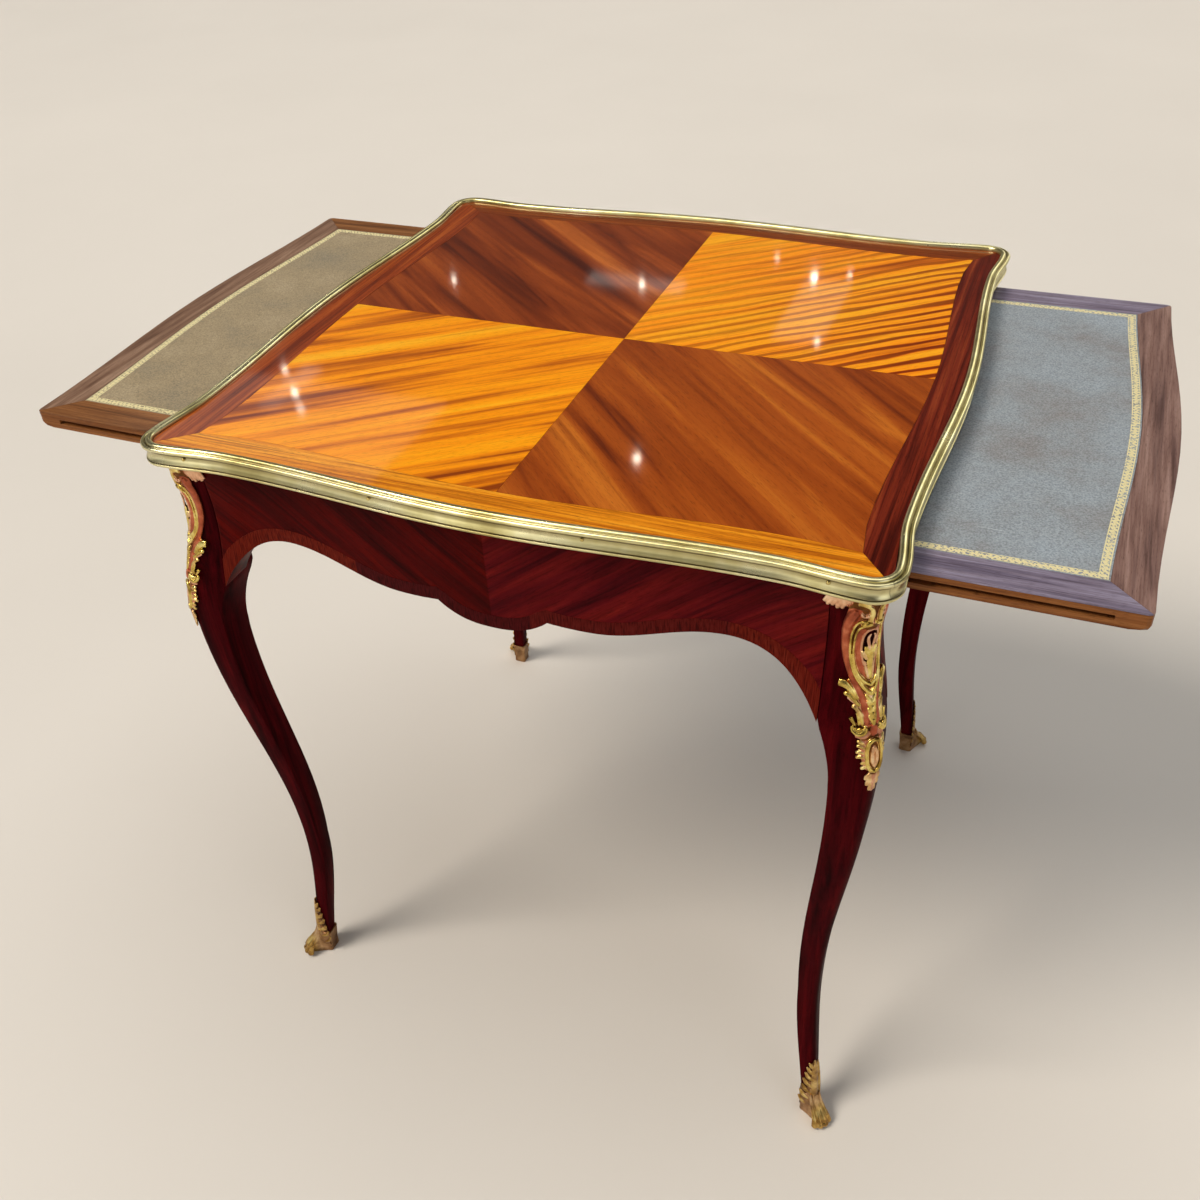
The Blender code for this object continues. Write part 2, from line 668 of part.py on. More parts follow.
def make_shoes(material):
    heights = [TOE_HEIGHT * share for share in (0.0, 0.2, 0.5, 0.8, 1.0)]
    rise = SHOE_LEAF_HEIGHT + SHOE_HEADROOM - TOE_HEIGHT
    heights += [TOE_HEIGHT + rise * share for share in (0.075, 0.2, 0.4, 0.6, 0.78, 1.0)]
    rings = []
    for height in heights:
        if height <= TOE_HEIGHT:
            share = height / TOE_HEIGHT
            toe = TOE_REACH * (0.86 + 0.14 * math.sin(math.pi * share)) * (1 - 0.35 * share ** 3)
        else:
            toe = 0.65 * TOE_REACH * 0.86 * max(0.0, 1 - (height - TOE_HEIGHT) / 0.026) ** 2
        rings.append(shoe_ring(height, toe))
    shoe = loft("shoe", rings)
    # Knuckles of the scrolled toe
    for side, back in ((-1, 0.004), (0, 0.0), (1, 0.004)):
        build = bmesh.new()
        bmesh.ops.create_uvsphere(build, u_segments=8, v_segments=4, radius=KNUCKLE_RADIUS)
        place = Vector(diagonal_point(-TOE_REACH * 0.80 + back, side * KNUCKLE_SPREAD, KNUCKLE_RADIUS * 1.25))
        for vertex in build.verts:
            vertex.co = place + vertex.co
            vertex.co.z = max(vertex.co.z, 0.0)
        shoe = combine(shoe, mesh_from(build, "knuckle"), "UNION")
    # Serrated leaf: everything inside its outline is cut away, seen square to the diagonal
    leaf = [(inward, SHOE_LEAF_HEIGHT * share) for inward, share in SHOE_LEAF_EDGE]
    rim = []
    for across in (-SHOE_CUT_REACH, SHOE_CUT_REACH):
        ring = [diagonal_point(inward, across, height) for inward, height in leaf]
        top = SHOE_LEAF_HEIGHT + SHOE_CUT_REACH / 2
        ring += [diagonal_point(SHOE_CUT_REACH, across, height) for height in (leaf[-1][1], top)]
        ring += [diagonal_point(2 * leaf[0][0], across, height) for height in (top, leaf[0][1])]
        rim.append(ring)
    shoe = combine(shoe, loft("leaf_cutter", rim), "DIFFERENCE")
    core_heights = [height for height in LEG_HEIGHTS if height < SHOE_LEAF_HEIGHT + SHOE_CUT_REACH]
    core_heights = core_heights[:-1] + [SOLE_THICKNESS]
    shoe = combine(shoe, leg_body("core", MOUNT_FIT, core_heights), "DIFFERENCE")
    for (sign_x, sign_y), where in CORNER_NAMES.items():
        add_object("shoe_" + where, signed_copy(shoe, "shoe_" + where, sign_x, sign_y), material)


# Gilt corner mounts, drawn flat with the arris in the middle, then wrapped round the corner of the leg
def rib(name, path, radius, sides, seat):
    # A tapering rib laid on the plate along a path of (across, drop, share of the radius)
    thing = poly_curve(name, [(across, -seat, -drop) for across, drop, share in path], False)
    thing.data.bevel_depth = radius
    thing.data.bevel_resolution = (sides - 4) // 2
    thing.data.use_fill_caps = True
    for point, (across, drop, share) in zip(thing.data.splines[0].points, path):
        point.radius = share
    return curve_to_mesh(thing, name)


# Half of the mount's outline on the leg, from the top of the arris down to its tip
PLATE_EDGE = [
    (0.030, 0.0), (FRONT_REACH, 0.002), (0.046, 0.008), (0.031, 0.011), (0.035, 0.024), (0.0375, 0.037),
    (0.034, 0.055), (0.028, 0.071), (0.038, 0.0735), (0.034, 0.083), (0.024, 0.092), (0.028, 0.100),
    (0.020, 0.108), (0.023, 0.118), (0.017, 0.128), (0.012, 0.133), (0.016, 0.142), (0.013, 0.158), (0.007, 0.166),
    (0.009, 0.178),
    (0.000, MOUNT_DRAWN),
]
OPENING_EDGE = [(0.000, 0.020), (0.006, 0.024), (0.0105, 0.035), (0.0115, 0.048), (0.008, 0.062),
                (0.000, 0.072)]

STRAP_PATH = [(0.012, 0.009, 0.6), (0.024, 0.0115, 0.9), (0.0312, 0.021, 1.0), (0.0338, 0.035, 1.0),
              (0.0318, 0.051, 1.0), (0.0262, 0.067, 0.95), (0.0185, 0.085, 0.9), (0.0110, 0.105, 0.8),
              (0.0060, 0.126, 0.55)]
RIB_PATH = [(0.006, 0.0165, 0.7), (0.0165, 0.0205, 1.0), (0.0222, 0.032, 1.0), (0.0228, 0.046, 1.0),
            (0.0180, 0.062, 1.0), (0.0100, 0.0745, 1.0), (-0.003, 0.0815, 0.8)]
LEAF_PATHS = [
    [(0.011, 0.100, 1.0), (0.024, 0.0855, 1.3), (0.0355, 0.0775, 0.9)],
    [(0.011, 0.115, 0.9), (0.0195, 0.1035, 1.1), (0.0262, 0.0995, 0.7)],
    [(0.006, 0.130, 0.9), (0.0165, 0.1265, 1.2), (0.0208, 0.118, 0.8)],
]
SHELL_PATH = [(-0.002, 0.1385, 0.9), (0.008, 0.146, 1.2), (0.0065, 0.160, 1.0), (-0.002, 0.1665, 0.9)]
TIP_PATH = [(0.000, 0.1675, 1.5), (0.000, 0.176, 1.3), (0.000, 0.1865, 0.5)]
STEM_PATH = [(0.000, 0.0775, 1.0), (0.000, 0.052, 0.9), (0.000, 0.024, 0.5)]
CREST_PATH = [(-0.004, 0.0055, 0.9), (0.024, 0.0050, 1.1), (0.045, 0.0052, 0.7)]


def sunk(drop):
    # The head of the mount hangs lower, and its tip stays
    return drop + HEAD_SINK * ease(drop / HEAD_RAMP) * (1 - ease((drop - HEAD_KEPT) / HEAD_FADE))


def narrowed(drop):
    # Share of the drawn width that the mount has at a drop
    head = (HEAD_SHARE - WAIST_SHARE) * (1 - ease(drop / WAIST_START))
    return WAIST_SHARE + head + (TIP_SHARE - WAIST_SHARE) * ease((drop - WAIST_END) / WAIST_FADE)


def wrap_on_corner(place):
    # Flat place to the leg's corner: across the arris, out from the wood, and below the top board
    across, out, height = place.x, -place.y, place.z + UNDERSIDE - MOUNT_TOP_GAP
    inset = ringed_inset(height)
    lift = MOUNT_FIT + out
    bend = ARRIS_RADIUS * math.pi / 4
    centre_x = POST_CORNER_X - inset - ARRIS_RADIUS
    centre_y = POST_CORNER_Y - inset - ARRIS_RADIUS
    turn = max(-math.pi / 4, min(math.pi / 4, across / ARRIS_RADIUS))
    angle = math.pi / 4 + turn
    x = centre_x + (ARRIS_RADIUS + lift) * math.cos(angle)
    y = centre_y + (ARRIS_RADIUS + lift) * math.sin(angle)
    if across > bend:
        x -= across - bend
    elif across < -bend:
        # On the side face the leaf under the moulding is drawn in, clear of the slide's opening
        spare = max(0.0, -across - MOUNT_NECK)
        y -= min(-across, MOUNT_NECK) + spare * (SIDE_REACH - MOUNT_NECK) / (FRONT_REACH - MOUNT_NECK) - bend
    return Vector((x, y, height))


def flat_plate(name, outline, low, high):
    # An outline of (across, drop) made a plate that lies against the plane Y = 0
    mesh = outline_slab(name, [(across, -drop) for across, drop in outline], low, high)
    for vertex in mesh.vertices:
        vertex.co = (vertex.co.x, -vertex.co.z, vertex.co.y)
    return mesh


def make_mounts(material):
    # One half of the casting, a little over the arris: pierced backing plate, straps, ribs and leaves
    overlap = 0.004
    mount = flat_plate("mount", [(-overlap, 0.0)] + PLATE_EDGE + [(-overlap, MOUNT_DRAWN - overlap)],
                       0.0, PLATE_THICKNESS)
    opening = [(-0.010, OPENING_EDGE[0][1])] + OPENING_EDGE + [(-0.010, OPENING_EDGE[-1][1])]
    piercing = flat_plate("piercing", opening,
                          -0.010, 0.010)
    mount = combine(mount, piercing, "DIFFERENCE")
    ribs = [(STRAP_PATH, STRAP_RADIUS, 6), (RIB_PATH, RIB_RADIUS, 6)]
    ribs += [(path, LEAF_RADIUS, 4) for path in LEAF_PATHS]
    ribs += [(path, SCROLL_RADIUS, 4) for path in (SHELL_PATH, CREST_PATH, TIP_PATH, STEM_PATH)]
    for layer, (path, radius, sides) in enumerate(ribs):
        seat = RIB_SEAT + RIB_LAYER * layer
        mount = combine(mount, rib("rib", path, radius, sides, seat), "UNION")
    # Its back is flat, and its half ends on the arris
    room = 2 * MOUNT_DRAWN
    mount = combine(mount, box_mesh("half", (0.0, -room, -room), (room, -MOUNT_BACK_CUT, room)), "INTERSECT")
    build = bmesh.new()
    build.from_mesh(mount)
    bmesh.ops.dissolve_limit(build, angle_limit=math.radians(0.5), verts=build.verts, edges=build.edges)
    arris = [face for face in build.faces if all(abs(vertex.co.x) < 0.000005 for vertex in face.verts)]
    bmesh.ops.delete(build, geom=arris, context="FACES")
    other = bmesh.ops.duplicate(build, geom=build.verts[:] + build.edges[:] + build.faces[:])["geom"]
    for piece in other:
        if isinstance(piece, bmesh.types.BMVert):
            piece.co.x *= -1
    bmesh.ops.reverse_faces(build, faces=[piece for piece in other if isinstance(piece, bmesh.types.BMFace)])
    bmesh.ops.remove_doubles(build, verts=build.verts, dist=0.00001)
    for vertex in build.verts:
        vertex.co.x *= narrowed(-vertex.co.z)
        vertex.co.z = -sunk(-vertex.co.z * MOUNT_STRETCH)
    # Lines across the plate at the bends of the corner and at the rings of the leg
    bend = ARRIS_RADIUS * math.pi / 4
    for across in (-bend, bend):
        bmesh.ops.bisect_plane(build, geom=build.verts[:] + build.edges[:] + build.faces[:], dist=0.00001,
                               plane_co=(across, 0, 0), plane_no=(1, 0, 0))
    for height in LEG_HEIGHTS:
        drop = UNDERSIDE - MOUNT_TOP_GAP - height
        if 0.002 < drop < MOUNT_LENGTH - 0.002:
            bmesh.ops.bisect_plane(build, geom=build.verts[:] + build.edges[:] + build.faces[:], dist=0.00001,
                                   plane_co=(0, 0, -drop), plane_no=(0, 0, 1))
    for vertex in build.verts:
        vertex.co = wrap_on_corner(vertex.co)
    bmesh.ops.recalc_face_normals(build, faces=build.faces)
    mount = mesh_from(build, "mount")
    for (sign_x, sign_y), where in CORNER_NAMES.items():
        name = "corner_mount_" + where
        add_object(name, signed_copy(mount, name, sign_x, sign_y), material)


# Slides, made for the right side and pulled out
def slide_end(y, inset=0.0):
    share = abs(y) / SLIDE_HALF_DEPTH
    return EDGE_MIDDLE_X - SLIDE_SETBACK + SLIDE_TRAVEL - SLIDE_BOW * ease(share) - inset


def make_slides(board_material, band_material, leather_material, block_material):
    half = SLIDE_HALF_DEPTH
    inner = SLIDE_INNER_END + SLIDE_TRAVEL
    band_low = SLIDE_TOP - VENEER
    leather_half = half - SLIDE_BAND
    leather_inner = inner + SLIDE_BAND
    # Outer end: bowed, with a small rounding at each corner
    bow = [(slide_end(y), y) for y in spread(SLIDE_CORNER - half, half - SLIDE_CORNER, EDGE_STEPS)]
    rounding = SLIDE_CORNER * (1 - math.sqrt(0.5))
    mitre = (slide_end(half) - rounding, half - rounding)
    shoulder = (slide_end(half) - SLIDE_CORNER, half)
    outline = [(inner, -half), (shoulder[0], -half), (mitre[0], -mitre[1])]
    outline += bow + [mitre, shoulder, (inner, half)]
    board = outline_slab("slide", outline, SLIDE_BOTTOM, band_low - FIT)
    build = bmesh.new()
    build.from_mesh(board)
    near = shoulder[0] - FIT
    nose = [edge for edge in build.edges
            if all(abs(vertex.co.z - SLIDE_BOTTOM) < FIT and vertex.co.x > near for vertex in edge.verts)
            and abs(edge.link_faces[0].normal.z - edge.link_faces[1].normal.z) > 0.5]
    bmesh.ops.bevel(build, geom=nose, offset=SLIDE_NOSE, segments=2, profile=0.5, affect="EDGES",
                    clamp_overlap=True)
    board = mesh_from(build, "slide")
    groove_top = SLIDE_TOP - GROOVE_DROP
    for side in (-1, 1):
        near, far = sorted((side * (half - GROOVE_DEPTH), side * (half + GROOVE_DEPTH)))
        groove = box_mesh("groove", (inner - GROOVE_DEPTH, near, groove_top - GROOVE_HEIGHT),
                          (slide_end(half) - GROOVE_STOP, far, groove_top))
        board = combine(board, groove, "DIFFERENCE")
    inlay = leather_half - FIT
    inlay_end = [(slide_end(y, SLIDE_BAND + FIT), y) for y in spread(-inlay, inlay, EDGE_STEPS)]
    inlay_start = [(leather_inner + FIT, inlay), (leather_inner + FIT, -inlay)]
    leather = outline_slab("leather", inlay_end + inlay_start,
                           band_low, band_low + LEATHER_THICKNESS)
    end_band = outline_slab("end_band", [(mitre[0], -mitre[1])] + bow + [mitre]
                            + [(slide_end(y, SLIDE_BAND), y)
                               for y in spread(leather_half, -leather_half, EDGE_STEPS)],
                            band_low, SLIDE_TOP)
    long_band = outline_slab("long_band", [(inner, half), (inner, leather_half),
                                           (slide_end(leather_half, SLIDE_BAND) - FIT, leather_half),
                                           (mitre[0] - FIT, mitre[1]), (shoulder[0] - FIT, half)],
                             band_low, SLIDE_TOP)
    inner_band = box_mesh("inner_band", (inner, -inlay, band_low), (leather_inner, inlay, SLIDE_TOP))
    stop_top = SLIDE_BOTTOM - FIT
    stop = box_mesh("stop", (APRON_BACK_X - FIT - STOP_WIDTH, -STOP_LENGTH / 2, stop_top - STOP_HEIGHT),
                    (APRON_BACK_X - FIT, STOP_LENGTH / 2, stop_top))
    for way, where in ((-1, "left"), (1, "right")):
        pieces = [("slide_board_", board, board_material, 1),
                  ("slide_leather_", leather, leather_material[where], 1),
                  ("slide_band_end_", end_band, band_material, 1),
                  ("slide_band_inner_", inner_band, band_material, 1),
                  ("slide_band_front_", long_band, band_material, -1),
                  ("slide_band_back_", long_band, band_material, 1),
                  ("slide_stop_", stop, block_material, 1)]
        for name, mesh, material, side in pieces:
            add_object(name + where, signed_copy(mesh, name + where, way, side), material)


# Runners, cross rail and corner blocks
def make_carcass(material):
    depth = APRON_BACK_Y - FIT
    add_object("cross_rail", box_mesh("cross_rail", (-RAIL_HALF_WIDTH, -depth, UNDERSIDE - FIT - RAIL_HEIGHT),
                                      (RAIL_HALF_WIDTH, depth, UNDERSIDE - FIT)), material)
    tongue_top = SLIDE_TOP - GROOVE_DROP - TONGUE_FIT
    tongue_bottom = SLIDE_TOP - GROOVE_DROP - GROOVE_HEIGHT + TONGUE_FIT
    tongue_in = SLIDE_HALF_DEPTH - GROOVE_DEPTH + 2 * TONGUE_FIT
    body_in = SLIDE_HALF_DEPTH + SLIDE_CLEARANCE
    section = [(depth, SLIDE_BOTTOM - REST_CLEARANCE), (depth, UNDERSIDE - FIT), (body_in, UNDERSIDE - FIT),
               (body_in, tongue_top), (tongue_in, tongue_top), (tongue_in, tongue_bottom),
               (body_in, tongue_bottom), (body_in, SLIDE_BOTTOM - REST_CLEARANCE)]
    near = RAIL_HALF_WIDTH + FIT
    far = POST_INNER_X - FIT
    runner = turn_upright(outline_slab("runner", section, near, far), "x")
    block_top = SLIDE_BOTTOM - REST_CLEARANCE - FIT
    block = outline_slab("block", [(far, depth), (far - BLOCK_SIZE, depth), (far, depth - BLOCK_SIZE)],
                         block_top - BLOCK_LENGTH, block_top)
    for (sign_x, sign_y), where in CORNER_NAMES.items():
        add_object("runner_" + where, signed_copy(runner, "runner_" + where, sign_x, sign_y), material)
        name = "corner_block_" + where
        add_object(name, signed_copy(block, name, sign_x, sign_y), material)


oak = make_material("oak_carcass", (0.33, 0.20, 0.10), 0.6)
light_veneer = make_material("kingwood_light", (0.62, 0.26, 0.04), 0.12)
dark_veneer = make_material("kingwood_dark", (0.17, 0.035, 0.012), 0.12)
band_veneer = make_material("rosewood_band", (0.30, 0.08, 0.02), 0.15)
apron_veneer = make_material("rosewood_apron", (0.10, 0.014, 0.012), 0.25)
leg_veneer = make_material("rosewood_leg", (0.06, 0.006, 0.008), 0.25)
slide_wood = make_material("slide_rosewood", (0.16, 0.07, 0.045), 0.35)
slide_veneer = make_material("slide_band_rosewood", (0.19, 0.12, 0.10), 0.35)
olive_leather = make_material("leather_olive", (0.16, 0.14, 0.09), 0.5)
slate_leather = make_material("leather_slate", (0.10, 0.125, 0.15), 0.5)
brass = make_material("polished_brass", (0.62, 0.55, 0.25), 0.25, 1.0)
ormolu = make_material("ormolu", (0.72, 0.50, 0.14), 0.35, 1.0)

make_top(oak, {"front_left": light_veneer, "back_right": light_veneer, "front_right": dark_veneer,
               "back_left": dark_veneer}, band_veneer)
make_moulding(brass)
for way in SIDE_NAMES:
    make_apron(*way, apron_veneer)
make_legs(leg_veneer)
make_shoes(ormolu)
make_mounts(ormolu)
make_slides(slide_wood, slide_veneer, {"left": olive_leather, "right": slate_leather}, oak)
make_carcass(oak)
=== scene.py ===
# Cabaret table with two slides, dressed for a pale studio and seen from its front right corner
import math
from functools import partial
import bpy
import numpy as np
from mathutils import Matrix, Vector


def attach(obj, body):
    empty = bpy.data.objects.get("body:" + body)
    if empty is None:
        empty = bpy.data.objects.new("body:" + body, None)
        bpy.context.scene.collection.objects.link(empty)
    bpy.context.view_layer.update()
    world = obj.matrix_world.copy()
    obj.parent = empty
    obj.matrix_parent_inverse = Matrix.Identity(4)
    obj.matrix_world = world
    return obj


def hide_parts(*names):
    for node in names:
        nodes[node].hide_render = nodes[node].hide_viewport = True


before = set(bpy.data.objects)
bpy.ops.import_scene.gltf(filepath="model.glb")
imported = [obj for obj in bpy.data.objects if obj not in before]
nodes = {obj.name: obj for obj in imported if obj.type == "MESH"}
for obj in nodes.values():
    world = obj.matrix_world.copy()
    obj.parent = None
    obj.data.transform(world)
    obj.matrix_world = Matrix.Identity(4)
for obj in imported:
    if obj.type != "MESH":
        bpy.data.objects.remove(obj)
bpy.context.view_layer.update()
print("frame loaded:", len(nodes), "nodes")

tablePlan = {
    "middle": (0.344, 0.333),  # half width in x and half depth in y, over the moulding
    "waist": (0.333, 0.321),
    "ear": (0.339, 0.326),
    "waistAt": (0.235, 0.245),  # distance of the waist from the middle of the side it is on
    "cornerRadius": 0.026,
    "lip": 0.750,
    "wood": 0.746,
    "underside": 0.7275,
    "apronIn": 0.019,  # from the moulding's outside to the apron's face
    "postCorner": (0.322, 0.306),
    "postWidth": 0.037,
}
cornerSigns = {"front_left": (-1, -1), "front_right": (1, -1), "back_left": (-1, 1), "back_right": (1, 1)}
sideWays = {"front": (0, -1), "back": (0, 1), "left": (-1, 0), "right": (1, 0)}


# Small helpers for working as by hand
def pick(*things):
    if bpy.context.object and bpy.context.object.mode != "OBJECT":
        bpy.ops.object.mode_set(mode="OBJECT")
    bpy.ops.object.select_all(action="DESELECT")
    for thing in things:
        thing.select_set(True)
    bpy.context.view_layer.objects.active = things[0]


def rename(piece, name):
    piece.name = name
    piece.data.name = name
    return piece


def applyPlace(piece, name):
    pick(piece)
    bpy.ops.object.transform_apply(location=True, rotation=True, scale=True)
    return rename(piece, name)


def addModifier(piece, kind, **settings):
    pick(piece)
    modifier = piece.modifiers.new(kind.title(), kind)
    for key, value in settings.items():
        setattr(modifier, key, value)
    bpy.ops.object.modifier_apply(modifier=modifier.name)


def joinPieces(pieces, name):
    pick(*pieces)
    bpy.ops.object.join()
    return rename(bpy.context.object, name)


def smoothShade(piece, degrees):
    pick(piece)
    bpy.ops.object.shade_smooth_by_angle(angle=math.radians(degrees))


def editAll():
    bpy.ops.object.mode_set(mode="EDIT")
    bpy.ops.mesh.select_all(action="SELECT")


def leaveOutwards():
    # Out of edit mode, with every face turned outwards
    bpy.ops.mesh.select_all(action="SELECT")
    bpy.ops.mesh.normals_make_consistent(inside=False)
    bpy.ops.object.mode_set(mode="OBJECT")


def sawOff(place, normal):
    # Takes away what lies beyond a plane and closes the cut, in edit mode
    bpy.ops.mesh.select_all(action="SELECT")
    bpy.ops.mesh.bisect(plane_co=place, plane_no=normal, use_fill=True, clear_outer=True)


def readPlaces(mesh):
    places = np.empty(len(mesh.vertices) * 3)
    mesh.vertices.foreach_get("co", places)
    return places.reshape(-1, 3)


def writePlaces(mesh, places):
    mesh.vertices.foreach_set("co", places.ravel())
    mesh.update()


def addPiece(name, places, faces):
    mesh = bpy.data.meshes.new(name)
    mesh.from_pydata(places, [], faces)
    piece = bpy.data.objects.new(name, mesh)
    bpy.context.collection.objects.link(piece)
    return piece


def dress(piece, body, slotName, material, *replaced):
    # Material, body and stand-in of a finished piece
    piece.data.materials.clear()
    piece.data.materials.append(material)
    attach(piece, body)
    if replaced:
        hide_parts(*replaced)


def toCorners(pattern, name, slotName, material, replaced):
    # A pattern is mirrored from the back right into every corner, each copy with its own mesh
    for where, (signX, signY) in cornerSigns.items():
        pick(pattern)
        bpy.ops.object.duplicate(linked=False)
        twin = bpy.context.object
        twin.scale = (signX, signY, 1)
        applyPlace(twin, name + where)
        if signX * signY < 0:
            editAll()
            bpy.ops.mesh.flip_normals()
            bpy.ops.object.mode_set(mode="OBJECT")
        dress(twin, "table_frame", slotName, material, replaced + where)
    pick(pattern)
    bpy.ops.object.delete()


def drawCurve(points, closed=False, smooth=False, flat=False):
    # A curve through points of 3 or 4 numbers, the last its share of the bevel
    bpy.ops.curve.primitive_nurbs_path_add()
    path = bpy.context.object
    path.data.splines.clear()
    path.data.dimensions = "2D" if flat else "3D"
    spline = path.data.splines.new("BEZIER" if smooth else "POLY")
    knots = spline.bezier_points if smooth else spline.points
    knots.add(len(points) - 1)
    for knot, point in zip(knots, points):
        knot.co = point[:3] if smooth else (*point[:3], 1)
        knot.radius = point[3] if len(point) > 3 else 1
        if smooth:
            knot.handle_left_type = "AUTO"
            knot.handle_right_type = "AUTO"
    spline.use_cyclic_u = closed
    return path


def toMesh(path, name):
    pick(path)
    bpy.ops.object.convert(target="MESH")
    return rename(bpy.context.object, name)


def spread(low, high, steps):
    return [low + (high - low) * step / steps for step in range(steps + 1)]


# Outline of the top, as the joiner drew it
def ease(share):
    return 0.5 - 0.5 * math.cos(math.pi * max(0.0, min(1.0, share)))


def cornerArc(axis):
    # Centre of the corner's arc, out from the middle and along the side that faces along that axis
    return [tablePlan["ear"][way] - tablePlan["cornerRadius"] for way in (axis, 1 - axis)]


def sideEdge(axis, along):
    # How far the moulding's outside stands from the middle, on a side that faces along that axis
    middle, waist, ear = (tablePlan[key][axis] for key in ("middle", "waist", "ear"))
    waistAt = tablePlan["waistAt"][axis]
    earAt = cornerArc(axis)[1]
    along = abs(along)
    if along <= waistAt:
        return middle + (waist - middle) * ease(along / waistAt)
    return waist + (ear - waist) * ease((along - waistAt) / (earAt - waistAt))


def sideRun(way, beyond):
    # One side from mitre to mitre, and an angle beyond, where it will be sawn
    axis = 0 if way[0] else 1
    radius = tablePlan["cornerRadius"]
    centre, reach = cornerArc(axis)
    half = [(sideEdge(axis, along), along) for along in spread(0, reach, 60)]
    turns = spread(0, math.pi / 4 + beyond, 12)[1:]
    half += [(centre + radius * math.cos(turn), reach + radius * math.sin(turn)) for turn in turns]
    run = [(out, -along) for out, along in reversed(half[1:])] + half
    if axis == 0:
        return [(way[0] * out, along) for out, along in run]
    return [(along, way[1] * out) for out, along in run]


# Materials
def hexColour(code):
    parts = [int(code[place:place + 2], 16) / 255 for place in (1, 3, 5)]
    return [part / 12.92 if part <= 0.04045 else ((part + 0.055) / 1.055) ** 2.4 for part in parts] + [1.0]


def feed(node, inputs):
    # An input is a number, a node for its first output, or a pair of a node and the name of an output
    for key, value in inputs.items():
        if isinstance(value, bpy.types.Node):
            value = (value, next(socket.name for socket in value.outputs if socket.enabled))
        if isinstance(value, tuple) and isinstance(value[0], bpy.types.Node):
            node.id_data.links.new(value[0].outputs[value[1]], node.inputs[key])
        else:
            node.inputs[key].default_value = value


def addNode(tree, kind, inputs=None, stops=None, **settings):
    # One node with its settings and links; stops colour a ramp
    node = tree.nodes.new("ShaderNode" + kind)
    for key, value in settings.items():
        setattr(node, key, value)
    feed(node, inputs or {})
    if stops:
        ramp = node.color_ramp
        while len(ramp.elements) > len(stops):
            ramp.elements.remove(ramp.elements[-1])
        while len(ramp.elements) < len(stops):
            ramp.elements.new(1.0)
        for element, (place, colour) in zip(ramp.elements, stops):
            element.position = place
            element.color = hexColour(colour)
    return node


def startMaterial(name):
    # The material, what adds a node to it, and its shader
    made = bpy.data.materials.new(name)
    made.use_nodes = True
    return made, partial(addNode, made.node_tree), made.node_tree.nodes["Principled BSDF"]


def cover(material, *starts):
    # The material on every CAD node whose name starts so
    for name, node in nodes.items():
        if name.startswith(starts):
            node.material_slots[0].material = material


blend = {"data_type": "RGBA"}
multiply = {"data_type": "RGBA", "blend_type": "MULTIPLY"}
waveBand = 314.2  # millimetres from band to band of a wave texture at scale 1


